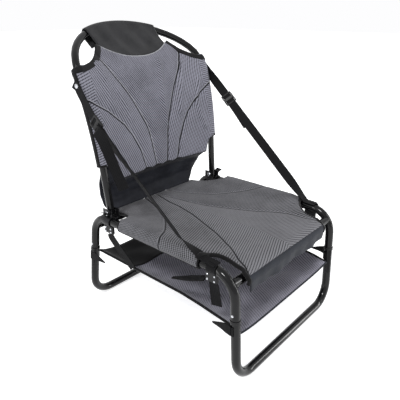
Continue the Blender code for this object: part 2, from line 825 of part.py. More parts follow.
def straps():
    for side, label in ((-1, "left"), (1, "right")):
        start, foot = strap_line(side)
        along = (foot - start).normalized()
        across = strap_across(side, along)
        edge = Vector((0, -along.z, along.y)).normalized() * webbing_width / 2
        lock_low = start + (foot - start) * lock_share
        lock_high = start + (foot - start) * (lock_share + 0.07)
        points = [start - along * 0.012, start + along * 0.025, start + (lock_low - start) * 0.6,
                  lock_low - along * 0.0003]
        ribbon(f"strap_upper_{label}", points, [edge, edge, across, across], webbing_thick, "webbing")
        ladder_lock(label, lock_low, lock_high, across)
        level = Vector((-side * webbing_width / 2, 0, 0))
        half_way = (across + level).normalized() * webbing_width / 2
        bend = foot - Vector((0, strap_end_length * 0.5, 0))
        tip = bend - Vector((0, strap_end_length * 0.5, 0.0016))
        under = [lock_high + along * 0.0003, lock_high + (foot - lock_high) * 0.5,
                 foot - along * 0.07, foot - along * 0.025, foot, bend, tip]
        turns = [across, across, across, half_way, level, level, level]
        ribbon(f"strap_lower_{label}", under, turns, webbing_thick, "webbing")
        fall = Vector((0, -0.42, -0.9)).normalized()
        top = lock_high + along * 0.0003 + along.cross(across).normalized() * side * 0.003
        tail = [top, top + (along + fall).normalized() * 0.03, top + (along + fall).normalized() * 0.03 + fall * 0.05,
                top + (along + fall).normalized() * 0.03 + fall * (tail_length - 0.03)]
        ribbon(f"strap_tail_{label}", tail, [across] * 4, webbing_thick, "webbing")


def ladder_lock(label, low, high, across):
    # Plastic frame with a bar across the middle that the webbing is threaded round
    along = (high - low).normalized()
    face = along.cross(across).normalized()
    length = (high - low).length
    half = across.length + 0.004
    thick = 0.005
    mesh = bmesh.new()
    bmesh.ops.create_cube(mesh, size=1.0)
    turn = Matrix((across.normalized(), along, face)).transposed().to_4x4()
    place = Matrix.Translation((low + high) / 2) @ turn
    bmesh.ops.transform(mesh, matrix=place @ Matrix.Diagonal((2 * half, length - 0.0006, thick, 1)), verts=mesh.verts)
    item = finish_object(mesh, f"ladder_lock_{label}", "plastic")
    for offset in (-0.26, 0.26):
        mesh = bmesh.new()
        bmesh.ops.create_cube(mesh, size=1.0)
        window = Matrix.Translation((low + high) / 2 + along * length * offset) @ turn
        size = Matrix.Diagonal((2 * across.length + 0.001, length * 0.27, thick * 3, 1))
        bmesh.ops.transform(mesh, matrix=window @ size, verts=mesh.verts)
        combine(item, finish_object(mesh, "window", "plastic"), "DIFFERENCE")
    return item


def strap_rivets():
    for side, label in ((-1, "left"), (1, "right")):
        start, foot = strap_line(side)
        base = start + Vector((side * (webbing_thick / 2 + seat_gap), 0, 0))
        dome = [(0, 0.006), (0.0012, 0.0056), (0.0022, 0.003)]
        turned(f"strap_rivet_{label}", base, (side, 0, 0), dome, "bright", sides=14)


def rail_webbing():
    # Webbing under the brackets: a hanging end and a rear-pointing end at the front,
    # and at the rear a strap down to the side of the sling
    for side, label in ((-1, "left"), (1, "right")):
        x = side * rail_x
        low = rail_z - bracket_drop - seat_gap
        front_y = front_bend_y + bracket_setback
        hang_y = front_y + webbing_width / 2
        hang = [(x, hang_y, low), (x, hang_y - 0.003, low - 0.018), (x, hang_y - 0.010, low - hang_length)]
        across = Vector((0, webbing_width / 2, 0))
        ribbon(f"front_webbing_{label}", [Vector(p) for p in hang], [across] * 3, webbing_thick, "webbing")
        level = Vector((webbing_width * 0.32, 0, 0))
        tail_y = front_y + bracket_depth + seat_gap
        tail = [(x, tail_y, low + 0.008), (x - side * 0.004, tail_y + 0.05, low + 0.001),
                (x - side * 0.010, tail_y + bracket_tail_length, low - 0.020)]
        widths = [level, level, level * 0.35]
        ribbon(f"bracket_tail_{label}", [Vector(p) for p in tail], widths, webbing_thick, "webbing")
        rear_y = pivot_y + rear_bracket_shift
        rim_x = side * (sling_half + sling_thick + 0.004)
        drop = [(x, rear_y, low), (x, rear_y - 0.014, low - 0.018), (rim_x, rear_y - 0.075, sling_z + 0.004)]
        turns = [Vector((0, webbing_width * 0.45, 0)), Vector((0, webbing_width * 0.40, webbing_width * 0.1)),
                 Vector((0, webbing_width * 0.40, webbing_width * 0.1))]
        ribbon(f"side_strap_{label}", [Vector(p) for p in drop], turns, webbing_thick, "webbing")


def hang_on_hinge():
    # Everything that folds hangs on one pivot, an empty on the hinge axis
    pivot = bpy.data.objects.new("backrest_pivot", None)
    bpy.context.scene.collection.objects.link(pivot)
    pivot.location = (0, pivot_y, pivot_z)
    bpy.context.view_layer.update()
    starts = ("backrest_", "head_", "hoop_foot", "strap_rivet", "strap_upper", "strap_tail", "ladder_lock")
    for item in list(bpy.data.objects):
        if item.type == "MESH" and item.name.startswith(starts):
            item.parent = pivot
            item.matrix_parent_inverse = pivot.matrix_world.inverted()


def foot_plugs():
    for side, label in ((-1, "left"), (1, "right")):
        low = back_point(side * back_half(0), -0.0046)
        lean = back_point(side * back_half(0), 0.02) - back_point(side * back_half(0), 0)
        steps = [(-0.0018, back_r * 0.8), (-0.0006, back_r), (0, back_r)]
        turned(f"hoop_foot_{label}", low, lean, steps, "plastic")


def build():
    clear_scene()
    side_rails()
    leg_hoop("front_leg_hoop", front_foot_y, front_bend_y)
    leg_hoop("rear_leg_hoop", rear_foot_y, rear_bend_y)
    leg_fittings()
    cross_tube("front_cross_tube", front_bend_y, 1)
    cross_tube("rear_cross_tube", rear_bend_y, -1)
    for side, label in ((-1, "left"), (1, "right")):
        hinge_bracket(side, label)
        hinge_bolt(side, label)
        for end in ("front", "rear"):
            rail_bracket(end, side, label)
            sling_strap(end, side, label)
    cushion()
    cushion_front_band()
    backrest_hoop()
    foot_plugs()
    backrest_cover()
    head_band()
    lumbar_flap()
    storage_sling()
    straps()
    strap_rivets()
    rail_webbing()
    hang_on_hinge()


build()
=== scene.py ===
import json
import math

import bmesh
import bpy
from mathutils import Matrix, Vector
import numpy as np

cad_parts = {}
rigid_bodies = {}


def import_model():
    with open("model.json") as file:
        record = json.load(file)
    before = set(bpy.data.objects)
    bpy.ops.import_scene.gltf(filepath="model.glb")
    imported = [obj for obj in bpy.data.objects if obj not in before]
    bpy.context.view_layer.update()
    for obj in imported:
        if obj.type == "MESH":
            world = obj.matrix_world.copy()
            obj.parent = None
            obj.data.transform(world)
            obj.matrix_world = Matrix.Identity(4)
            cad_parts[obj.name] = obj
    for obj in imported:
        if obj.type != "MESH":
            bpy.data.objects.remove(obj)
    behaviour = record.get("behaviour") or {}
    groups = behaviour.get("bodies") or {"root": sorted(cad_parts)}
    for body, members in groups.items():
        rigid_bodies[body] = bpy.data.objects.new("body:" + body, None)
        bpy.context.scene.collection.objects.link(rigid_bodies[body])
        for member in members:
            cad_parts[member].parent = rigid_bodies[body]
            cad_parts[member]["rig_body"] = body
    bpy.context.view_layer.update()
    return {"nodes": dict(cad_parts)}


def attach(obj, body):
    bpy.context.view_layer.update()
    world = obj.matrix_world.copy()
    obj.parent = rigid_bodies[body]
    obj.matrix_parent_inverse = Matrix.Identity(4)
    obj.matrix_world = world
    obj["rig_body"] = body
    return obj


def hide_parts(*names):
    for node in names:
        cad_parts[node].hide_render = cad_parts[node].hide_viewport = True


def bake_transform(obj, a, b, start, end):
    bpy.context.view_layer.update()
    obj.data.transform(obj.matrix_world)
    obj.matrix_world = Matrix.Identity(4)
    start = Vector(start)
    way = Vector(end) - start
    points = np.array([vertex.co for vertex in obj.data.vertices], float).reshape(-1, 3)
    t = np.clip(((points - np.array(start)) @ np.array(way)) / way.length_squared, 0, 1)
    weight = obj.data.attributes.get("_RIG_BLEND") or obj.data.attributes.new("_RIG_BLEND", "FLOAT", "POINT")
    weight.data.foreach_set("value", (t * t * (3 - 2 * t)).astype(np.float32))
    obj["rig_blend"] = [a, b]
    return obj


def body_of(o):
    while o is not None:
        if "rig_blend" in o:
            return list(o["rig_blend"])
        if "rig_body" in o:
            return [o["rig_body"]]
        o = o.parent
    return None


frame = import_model()
scene = bpy.context.scene
print("frame loaded")


# Camera, floor and light
cameraLook = {
    "place": (-0.8429, -0.7406, 0.7705),
    "turn": -48.88,       # degrees from +Y, negative to the right
    "tilt": 22.71,        # degrees downwards
    "roll": 0.17,
    "lens": 40.05,        # mm
    "sensor": 36.0,       # mm wide
}

turn, tilt = math.radians(cameraLook["turn"]), math.radians(cameraLook["tilt"])
ahead = Vector((-math.sin(turn) * math.cos(tilt), math.cos(turn) * math.cos(tilt), -math.sin(tilt)))
bpy.ops.object.camera_add(location=cameraLook["place"])
camera = bpy.context.object
camera.name = "photoCamera"
rightward = Vector((math.cos(turn), math.sin(turn), 0))
facing = Matrix((rightward, rightward.cross(ahead), -ahead)).transposed()
camera.rotation_euler = (facing @ Matrix.Rotation(math.radians(cameraLook["roll"]), 3, "Z")).to_euler()
camera.data.lens = cameraLook["lens"]
camera.data.sensor_width = cameraLook["sensor"]
camera.data.sensor_fit = "HORIZONTAL"
scene.camera = camera


def hexColour(code):
    # sRGB hex to the linear value that a shader takes
    parts = [int(code[i:i + 2], 16) / 255 for i in (0, 2, 4)]
    return tuple(p / 12.92 if p <= 0.04045 else ((p + 0.055) / 1.055) ** 2.4 for p in parts) + (1.0,)


def addNode(tree, kind, settings=None, sockets=None, tones=(), feeds=None):
    # A node with its settings. A socket's value may be another node's output, tones are the
    # stops of a colour ramp, and feeds is the socket that the node's first output goes to.
    node = tree.nodes.new(kind)
    for key, value in (settings or {}).items():
        setattr(node, key, value)
    for key, value in (sockets or {}).items():
        if isinstance(value, bpy.types.NodeSocket):
            tree.links.new(value, node.inputs[key])
        else:
            node.inputs[key].default_value = value
    for number, (position, code) in enumerate(tones):
        node.color_ramp.elements[number].position = position
        node.color_ramp.elements[number].color = hexColour(code)
    if feeds is not None:
        tree.links.new(node.outputs[0], feeds)
    return node


def newFinish(name, values=None):
    made = bpy.data.materials.new(name)
    made.use_nodes = True
    shader = made.node_tree.nodes["Principled BSDF"]
    for key, value in (values or {}).items():
        shader.inputs[key].default_value = value
    return made, made.node_tree, shader


studio = {
    "floorSize": 40, "floorHeight": -0.0006, "floorColour": "f4f5f6", "floorGlow": 0.68,
    "skyColour": "ffffff", "skyStrength": 0.50, "seenSky": "fdfdfe",
    # name, tilt and turn in degrees, strength, softness in degrees
    "suns": (("keyLamp", 38, -75, 1.55, 12), ("fillLamp", 62, 25, 0.22, 14)),
    # name, place, power in watts
    "strips": (("rightStrip", (1.5, -1.7, 0.9), 18.0), ("leftStrip", (-2.1, 0.5, 1.0), 9.0)),
    "stripSize": (0.22, 1.9), "stripAim": (0, 0, 0.35),
}


def seenDirectly(tree):
    # 1 where the camera sees the thing, also in a gloss or through a gap, and 0 for the light it gives
    path = addNode(tree, "ShaderNodeLightPath")
    seen = path.outputs["Is Camera Ray"]
    for ray in ("Is Glossy Ray", "Is Transmission Ray"):
        either = addNode(tree, "ShaderNodeMath", {"operation": "MAXIMUM"}, {0: seen, 1: path.outputs[ray]})
        seen = either.outputs[0]
    return seen


def studioFloor():
    bpy.ops.mesh.primitive_plane_add(size=studio["floorSize"], location=(0, 0, studio["floorHeight"]))
    floor = bpy.context.object
    floor.name = "studioFloor"
    made, tree, shader = newFinish("palePaper")
    tree.nodes.remove(shader)
    paper = addNode(tree, "ShaderNodeBsdfDiffuse", {}, {"Color": hexColour(studio["floorColour"])})
    strength = addNode(tree, "ShaderNodeMath", {"operation": "MULTIPLY"},
                       {0: seenDirectly(tree), 1: studio["floorGlow"]})
    glow = addNode(tree, "ShaderNodeEmission", {}, {"Strength": strength.outputs[0]})
    addNode(tree, "ShaderNodeAddShader", {}, {0: paper.outputs[0], 1: glow.outputs[0]},
            feeds=tree.nodes["Material Output"].inputs["Surface"])
    floor.data.materials.append(made)


def studioLight():
    world = bpy.data.worlds.new("studioWorld")
    scene.world = world
    world.use_nodes = True
    tree = world.node_tree
    plain = tree.nodes["Background"]
    plain.inputs["Color"].default_value = hexColour(studio["skyColour"])
    plain.inputs["Strength"].default_value = studio["skyStrength"]
    white = addNode(tree, "ShaderNodeBackground", {}, {"Color": hexColour(studio["seenSky"]), "Strength": 1.0})
    addNode(tree, "ShaderNodeMixShader", {}, {0: seenDirectly(tree), 1: plain.outputs[0], 2: white.outputs[0]},
            feeds=tree.nodes["World Output"].inputs["Surface"])
    for name, tiltX, turnZ, strength, spread in studio["suns"]:
        bpy.ops.object.light_add(type="SUN", rotation=(math.radians(tiltX), 0, math.radians(turnZ)))
        lamp = bpy.context.object
        lamp.name = name
        lamp.data.energy = strength
        lamp.data.angle = math.radians(spread)
    for name, place, power in studio["strips"]:
        bpy.ops.object.light_add(type="AREA", location=place)
        lamp = bpy.context.object
        lamp.name = name
        lamp.data.shape = "RECTANGLE"
        lamp.data.size, lamp.data.size_y = studio["stripSize"]
        lamp.data.energy = power
        lamp.rotation_euler = (Vector(studio["stripAim"]) - Vector(place)).to_track_quat("-Z", "Y").to_euler()


studioFloor()
studioLight()
scene.view_settings.view_transform = "Standard"
print("camera, floor and light set")


# Finishes
def blackPowderCoat():
    # Aluminium tube, powder coated: a deep grey-black gloss with faint orange peel and dull scuffs
    made, tree, shader = newFinish("blackPowderCoat", {
        "IOR": 1.52, "Specular IOR Level": 0.10, "Coat Weight": 0.32, "Coat Roughness": 0.05})
    place = addNode(tree, "ShaderNodeTexCoord").outputs["Object"]
    # real peel is about 1 mm, drawn at 2.4 mm
    peel = addNode(tree, "ShaderNodeTexNoise", {}, {"Vector": place, "Scale": 420.0, "Detail": 2.0})
    wear = addNode(tree, "ShaderNodeTexNoise", {},
                   {"Vector": place, "Scale": 38.0, "Detail": 5.0, "Roughness": 0.65})
    addNode(tree, "ShaderNodeValToRGB", {}, {"Fac": wear.outputs["Fac"]},
            ((0.35, "050506"), (0.75, "0d0d0f")), shader.inputs["Base Color"])
    addNode(tree, "ShaderNodeMapRange", {}, {
        "Value": wear.outputs["Fac"], "From Min": 0.3, "From Max": 0.8, "To Min": 0.16, "To Max": 0.28,
    }, feeds=shader.inputs["Roughness"])
    addNode(tree, "ShaderNodeBump", {}, {"Height": peel.outputs["Fac"], "Strength": 0.10, "Distance": 0.0004},
            feeds=shader.inputs["Normal"])
    return made


def blackZincPlate():
    # Pressed steel, zinc plated and blackened: darker and flatter than the tubes
    made, tree, shader = newFinish("blackZincPlate", {"Metallic": 0.6, "Roughness": 0.38})
    place = addNode(tree, "ShaderNodeTexCoord").outputs["Object"]
    rolled = addNode(tree, "ShaderNodeMapping", {}, {"Vector": place, "Scale": (1, 0.25, 1)}).outputs[0]
    grain = addNode(tree, "ShaderNodeTexNoise", {},
                    {"Vector": rolled, "Scale": 300.0, "Detail": 4.0, "Roughness": 0.6})
    addNode(tree, "ShaderNodeValToRGB", {}, {"Fac": grain.outputs["Fac"]},
            ((0.3, "0e0e10"), (0.8, "28282b")), shader.inputs["Base Color"])
    addNode(tree, "ShaderNodeBump", {}, {"Height": grain.outputs["Fac"], "Strength": 0.12, "Distance": 0.0003},
            feeds=shader.inputs["Normal"])
    return made


def brightSteel():
    # Stainless rivets, bolts and screw heads: bright, finely turned
    made, tree, shader = newFinish("brightSteel", {"Metallic": 1.0, "Roughness": 0.27})
    place = addNode(tree, "ShaderNodeTexCoord").outputs["Object"]
    turned = addNode(tree, "ShaderNodeMapping", {}, {"Vector": place, "Scale": (1, 1, 3)}).outputs[0]
    grain = addNode(tree, "ShaderNodeTexNoise", {}, {"Vector": turned, "Scale": 900.0, "Detail": 2.0})
    addNode(tree, "ShaderNodeValToRGB", {}, {"Fac": grain.outputs["Fac"]},
            ((0.3, "a4a6aa"), (0.7, "d8dade")), shader.inputs["Base Color"])
    addNode(tree, "ShaderNodeBump", {}, {"Height": grain.outputs["Fac"], "Strength": 0.08, "Distance": 0.0002},
            feeds=shader.inputs["Normal"])
    return made


def mouldedNylon():
    # Injection moulded nylon: black, satin, with a fine spark-eroded grain
    made, tree, shader = newFinish("mouldedNylon", {"Roughness": 0.46, "Specular IOR Level": 0.28})
    place = addNode(tree, "ShaderNodeTexCoord").outputs["Object"]
    # real grain 0.3 mm, drawn at 1.4 mm
    grain = addNode(tree, "ShaderNodeTexNoise", {},
                    {"Vector": place, "Scale": 700.0, "Detail": 3.0, "Roughness": 0.6})
    addNode(tree, "ShaderNodeValToRGB", {}, {"Fac": grain.outputs["Fac"]},
            ((0.3, "09090a"), (0.8, "151517")), shader.inputs["Base Color"])
    addNode(tree, "ShaderNodeBump", {}, {"Height": grain.outputs["Fac"], "Strength": 0.25, "Distance": 0.0003},
            feeds=shader.inputs["Normal"])
    return made


def clothPlace(tree, mirrored=False):
    # The piece's own flat pattern in metres; a mirrored one is the same on both halves
    place = addNode(tree, "ShaderNodeUVMap", {"uv_map": "flat"}).outputs["UV"]
    if not mirrored:
        return place
    return addNode(tree, "ShaderNodeVectorMath", {"operation": "ABSOLUTE"}, {0: place}).outputs[0]


def threadRibs(tree, place, degrees, period, wobble=0.0):
    # Ribs of thread across the cloth, one every `period` metres
    turn = (0, 0, math.radians(degrees))
    turned = addNode(tree, "ShaderNodeMapping", {}, {"Vector": place, "Rotation": turn})
    return addNode(tree, "ShaderNodeTexWave", {"wave_profile": "SIN"},
                   {"Vector": turned.outputs[0], "Scale": math.pi / 10 / period, "Distortion": wobble,
                    "Detail": 2.0, "Detail Scale": 1.5}).outputs["Fac"]


def wovenWebbing():
    # Woven polypropylene webbing: near black, cross ribs between two smooth edges
    made, tree, shader = newFinish("wovenWebbing", {"Roughness": 0.62, "Specular IOR Level": 0.10})
    place = clothPlace(tree)
    ribs = threadRibs(tree, place, 90, 0.0034)       # real pick 1.6 mm, drawn at 3.4 mm
    warp = threadRibs(tree, place, 0, 0.0042)
    weave = addNode(tree, "ShaderNodeMath", {"operation": "MULTIPLY"}, {0: ribs, 1: warp}).outputs[0]
    around = addNode(tree, "ShaderNodeTexCoord").outputs["Object"]
    dust = addNode(tree, "ShaderNodeTexNoise", {}, {"Vector": around, "Scale": 60.0, "Detail": 4.0})
    mixed = addNode(tree, "ShaderNodeMath", {"operation": "MULTIPLY_ADD"},
                    {0: dust.outputs["Fac"], 1: 0.5, 2: weave})
    addNode(tree, "ShaderNodeValToRGB", {}, {"Fac": mixed.outputs[0]},
            ((0.15, "060607"), (1.0, "161618")), shader.inputs["Base Color"])
    addNode(tree, "ShaderNodeBump", {}, {"Height": weave, "Strength": 0.5, "Distance": 0.0006},
            feeds=shader.inputs["Normal"])
    return made


def plainWeave(name, dark, light, period, creases=0.35, sheen=0.1, roughness=0.75):
    # Coated polyester or nylon: plain weave, soft irregular creases, with painted shade darkening the cloth in
    # their hollows
    made, tree, shader = newFinish(name, {
        "Roughness": roughness, "Specular IOR Level": 0.14, "Sheen Weight": sheen})
    place = clothPlace(tree)
    weft = threadRibs(tree, place, 0, period)
    warp = threadRibs(tree, place, 90, period)
    weave = addNode(tree, "ShaderNodeMath", {"operation": "MAXIMUM"}, {0: weft, 1: warp}).outputs[0]
    around = addNode(tree, "ShaderNodeTexCoord").outputs["Object"]
    creaseAndShade = addNode(tree, "ShaderNodeTexNoise", {},
                     {"Vector": around, "Scale": 26.0, "Detail": 4.0, "Roughness": 0.6}).outputs["Fac"]
    # the crease noise also darkens the colour where its bump is low: painted shade in the crease hollows
    mixed = addNode(tree, "ShaderNodeMath", {"operation": "MULTIPLY_ADD"}, {0: weave, 1: 0.35, 2: creaseAndShade})
    addNode(tree, "ShaderNodeValToRGB", {}, {"Fac": mixed.outputs[0]},
            ((0.35, dark), (1.0, light)), shader.inputs["Base Color"])
    lift = addNode(tree, "ShaderNodeMath", {"operation": "MULTIPLY_ADD"}, {0: weave, 1: 0.06, 2: creaseAndShade})
    addNode(tree, "ShaderNodeBump", {}, {"Height": lift.outputs[0], "Strength": creases, "Distance": 0.004},
            feeds=shader.inputs["Normal"])
    return made


def seamBand(tree, signedGap, centre, half):
    # 1 within `half` of `centre` metres from a seam, soft at both edges
    away = addNode(tree, "ShaderNodeMath", {"operation": "SUBTRACT"}, {0: signedGap, 1: centre})
    away = addNode(tree, "ShaderNodeMath", {"operation": "ABSOLUTE"}, {0: away.outputs[0]})
    return addNode(tree, "ShaderNodeMapRange", {}, {
        "Value": away.outputs[0], "From Min": half * 0.55, "From Max": half * 1.25,
        "To Min": 1.0, "To Max": 0.0,
    }).outputs[0]


def pickBySide(tree, signedGap, under, over):
    # One value on the inner side of a seam and another on its outer side
    above = addNode(tree, "ShaderNodeMath", {"operation": "GREATER_THAN"}, {0: signedGap, 1: 0.0})
    mix = addNode(tree, "ShaderNodeMix", {"data_type": "FLOAT"},
                  {"Factor": above.outputs[0], "A": under, "B": over})
    return mix.outputs["Result"]


def spacerMesh(name, look):
    # Knitted spacer mesh: thick light threads lie in slanted ribs over a darker ground,
    # turned another way in each sewn panel
    made, tree, shader = newFinish(name, {
        "Roughness": 0.82, "Specular IOR Level": 0.16, "Sheen Weight": look["sheen"], "Sheen Roughness": 0.45})
    place = clothPlace(tree)
    both = clothPlace(tree, mirrored=True)
    wobble = look["wobble"]
    middle = threadRibs(tree, place, look["middleTurn"], look["middlePeriod"], wobble)
    between = threadRibs(tree, both, look["betweenTurn"], look["betweenPeriod"], wobble)
    outside = threadRibs(tree, both, look["outsideTurn"], look["betweenPeriod"], wobble)
    sleeve = threadRibs(tree, both, look["sleeveTurn"], look["betweenPeriod"], wobble)
    crossing = threadRibs(tree, place, look["middleTurn"] + 78, 0.0040, wobble * 1.5)
    inner = addNode(tree, "ShaderNodeAttribute", {"attribute_name": "innerSeam"}).outputs["Fac"]
    outer = addNode(tree, "ShaderNodeAttribute", {"attribute_name": "outerSeam"}).outputs["Fac"]
    ribs = pickBySide(tree, inner, middle, between)
    ribs = pickBySide(tree, outer, ribs, outside)
    # round the tubes the cloth is turned, so its ribs slant the other way
    aside = addNode(tree, "ShaderNodeSeparateXYZ", {}, {0: both}).outputs["X"]
    aside = addNode(tree, "ShaderNodeMath", {"operation": "SUBTRACT"}, {0: aside, 1: look["sleeveFrom"]})
    ribs = pickBySide(tree, aside.outputs[0], ribs, sleeve)
    strong = pickBySide(tree, inner, look["middleStrength"], 1.0)
    ribs = addNode(tree, "ShaderNodeMath", {"operation": "MULTIPLY"}, {0: ribs, 1: strong}).outputs[0]
    knots = addNode(tree, "ShaderNodeMath", {"operation": "MULTIPLY_ADD"},
                    {0: crossing, 1: look["threadStrength"], 2: ribs}).outputs[0]
    around = addNode(tree, "ShaderNodeTexCoord").outputs["Object"]
    patches = addNode(tree, "ShaderNodeTexNoise", {},
                      {"Vector": around, "Scale": 16.0, "Detail": 5.0, "Roughness": 0.6}).outputs["Fac"]
    fuzz = addNode(tree, "ShaderNodeTexNoise", {},
                   {"Vector": around, "Scale": 420.0, "Detail": 2.0, "Roughness": 0.7}).outputs["Fac"]
    tone = knots
    for pattern, weight in ((patches, look["patches"]), (fuzz, look["fuzz"])):
        more = addNode(tree, "ShaderNodeMath", {"operation": "MULTIPLY_ADD"}, {0: pattern, 1: weight, 2: tone})
        tone = more.outputs[0]
    shade = addNode(tree, "ShaderNodeValToRGB", {}, {"Fac": tone},
                    ((look["lowTone"], look["groove"]), (look["highTone"], look["thread"])))
    colour = shade.outputs["Color"]
    # painted highlight and painted shade along each seam
    for gap in (inner, outer):
        for centre, half, code in look["seamHighlightAndShade"]:
            line = seamBand(tree, gap, centre, half)
            mix = addNode(tree, "ShaderNodeMix", {"data_type": "RGBA"},
                          {"Factor": line, "A": colour, "B": hexColour(code)})
            colour = mix.outputs["Result"]
    tree.links.new(colour, shader.inputs["Base Color"])
    addNode(tree, "ShaderNodeBump", {}, {"Height": knots, "Strength": 0.55, "Distance": 0.0011},
            feeds=shader.inputs["Normal"])
    return made


def seamHighlightAndShade(light, dark):
    # A thin painted highlight line inside each seam and a wider painted shade line outside it, over the seam's
    # groove: (centre, half width, colour)
    return ((-0.0020, 0.0011, light), (0.0013, 0.0024, dark))


backMeshLook = {
    "middleTurn": -34, "middlePeriod": 0.0052, "middleStrength": 0.62,
    "betweenTurn": 27, "betweenPeriod": 0.0060, "outsideTurn": 25, "sleeveFrom": 0.196, "sleeveTurn": -73,
    "wobble": 0.8, "threadStrength": 0.30, "patches": 0.45, "fuzz": 0.25, "lowTone": 0.44, "highTone": 1.0,
    "groove": "121115", "thread": "8c8c98", "seamHighlightAndShade": seamHighlightAndShade("a4a4ac", "141417"), "sheen": 0.12,
}
seatMeshLook = dict(backMeshLook, middleTurn=-87, middlePeriod=0.0044, middleStrength=0.50,
                    betweenTurn=-66, betweenPeriod=0.0058, outsideTurn=-66, sleeveFrom=0.30,
                    groove="131314", thread="7b7b80", seamHighlightAndShade=seamHighlightAndShade("77777c", "141417"))
slingMeshLook = dict(backMeshLook, middleTurn=35, middlePeriod=0.006, groove="222127", thread="908f9b",
                     middleStrength=0.7, patches=0.8, sleeveFrom=0.9)

finishes = {
    "tube": blackPowderCoat(),
    "plate": blackZincPlate(),
    "bright": brightSteel(),
    "nylon": mouldedNylon(),
    "webbing": wovenWebbing(),
    "backMesh": spacerMesh("backSpacerMesh", backMeshLook),
    "seatMesh": spacerMesh("seatSpacerMesh", seatMeshLook),
    "slingMesh": spacerMesh("slingSpacerMesh", slingMeshLook),
    "bandCloth": plainWeave("slatePolyester", "17191f", "2a2d35", 0.0030),
    "headCloth": plainWeave("charcoalPolyester", "1b1b1d", "343436", 0.0028, 0.25),
    "lumbarCloth": plainWeave("navyNylon", "101116", "272931", 0.0034, 0.6, 0.05, 0.6),
    "binding": plainWeave("blackBindingTape", "060607", "101012", 0.0024, 0.2),
    "piping": plainWeave("greyPipingCord", "86878c", "b9babe", 0.0024, 0.2),
}
print("finishes made")


# Tubes, plates, rivets and mouldings
copyLook = {
    "merge": 0.00002,        # m
    "flatUnder": 0.5,        # degrees
    "bevelOver": 40,         # degrees
    "collarHeight": 0.6,     # of the solid's height, as in the photograph
}
railPlate = {"middleX": 0.214, "thick": 0.009, "screwsFrom": 0.0002}
sides = ((-1, "left"), (1, "right"))


def deselectAll():
    bpy.ops.object.select_all(action="DESELECT")


def makeActive(piece):
    deselectAll()
    piece.select_set(True)
    bpy.context.view_layer.objects.active = piece


def bodyOf(node):
    carriers = body_of(frame["nodes"][node])
    return carriers[0] if carriers else "frame"


def smoothCopy(node, pieceName, finish, angle=35, rounding=0.0):
    # A merged, rounded and smooth-shaded copy of a CAD node; the node itself is left alone
    source = frame["nodes"][node]
    piece = bpy.data.objects.new(pieceName, source.data.copy())
    scene.collection.objects.link(piece)
    makeActive(piece)
    bpy.ops.object.mode_set(mode="EDIT")
    bpy.ops.mesh.select_all(action="SELECT")
    bpy.ops.mesh.remove_doubles(threshold=copyLook["merge"])
    bpy.ops.mesh.dissolve_limited(angle_limit=math.radians(copyLook["flatUnder"]))
    bpy.ops.object.mode_set(mode="OBJECT")
    if rounding:
        soften = piece.modifiers.new("roundedEdges", "BEVEL")
        soften.width = rounding
        soften.segments = 2
        soften.limit_method = "ANGLE"
        soften.angle_limit = math.radians(copyLook["bevelOver"])
        bpy.ops.object.modifier_apply(modifier=soften.name)
    bpy.ops.object.shade_smooth_by_angle(angle=math.radians(angle))
    piece.data.materials.clear()
    piece.data.materials.append(finishes[finish])
    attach(piece, bodyOf(node))
    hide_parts(node)
    return piece


for sign, label in sides:
    smoothCopy(f"side_rail_{label}", f"sideRail_{label}", "tube")
    smoothCopy(f"hinge_bracket_{label}", f"hingeBracket_{label}", "plate", 30, 0.0005)
    smoothCopy(f"hinge_bolt_{label}", f"hingeBolt_{label}", "bright", 40)
    smoothCopy(f"hoop_foot_{label}", f"hoopFoot_{label}", "nylon", 40)
    smoothCopy(f"strap_rivet_{label}", f"strapRivet_{label}", "bright", 40)
    for end in ("front", "rear"):
        ring = smoothCopy(f"leg_collar_{end}_{label}", f"legCollar_{end}_{label}", "nylon")
        middle = sum(v.co.z for v in ring.data.vertices) / len(ring.data.vertices)
        for vertex in ring.data.vertices:
            vertex.co.z = middle + (vertex.co.z - middle) * copyLook["collarHeight"]
        smoothCopy(f"leg_rivet_{end}_{label}", f"legRivet_{end}_{label}", "bright", 50)
for end in ("front", "rear"):
    smoothCopy(f"{end}_leg_hoop", f"{end}LegHoop", "tube")
    smoothCopy(f"{end}_cross_tube", f"{end}CrossTube", "tube")
smoothCopy("backrest_hoop", "backrestHoop", "tube")


def railBrackets():
    # Moulded plate under the rail with bright screws
    face = railPlate["middleX"] + railPlate["thick"] / 2 + railPlate["screwsFrom"]
    for end in ("front", "rear"):
        for sign, label in sides:
            piece = smoothCopy(f"rail_bracket_{end}_{label}", f"railBracket_{end}_{label}",
                               "nylon", 30)
            piece.data.materials.append(finishes["bright"])
            for polygon in piece.data.polygons:
                if polygon.center.x * sign > face:
                    polygon.material_index = 1


railBrackets()
print("hard pieces made")


# Shapes that the cloth follows
backrest = {
    "pivotY": 0.1223, "pivotZ": 0.297,
    # degrees of lean against the length up the hoop
    "leanSteps": [(0.0, 5.0), (0.12, 5.5), (0.26, 14.0), (0.32, 18.0), (0.40, 48.0), (0.52, 60.0)],
    "halfLow": 0.203, "halfTop": 0.219, "shoulder": 0.335, "crown": 0.167, "tubeRadius": 0.0095,
}


def evenly(start, end, steps):
    return [start + (end - start) * i / steps for i in range(steps + 1)]


def alongTable(table, at):
    # A value read from (place, value) pairs, straight between them
    for (start, low), (end, high) in zip(table, table[1:]):
        if at <= end:
            return low + (high - low) * max((at - start) / (end - start), 0)
    return table[-1][1]


def leanAt(length):
    return math.radians(alongTable(backrest["leanSteps"], length))


# The hoop's middle seen from the side, a point for each millimetre of its length
sideView = [(backrest["pivotY"], backrest["pivotZ"])]
for count in range(560):
    tiltHere = leanAt(count * 0.001 + 0.0005)
    lastY, lastZ = sideView[-1]
    sideView.append((lastY + 0.001 * math.sin(tiltHere), lastZ + 0.001 * math.cos(tiltHere)))


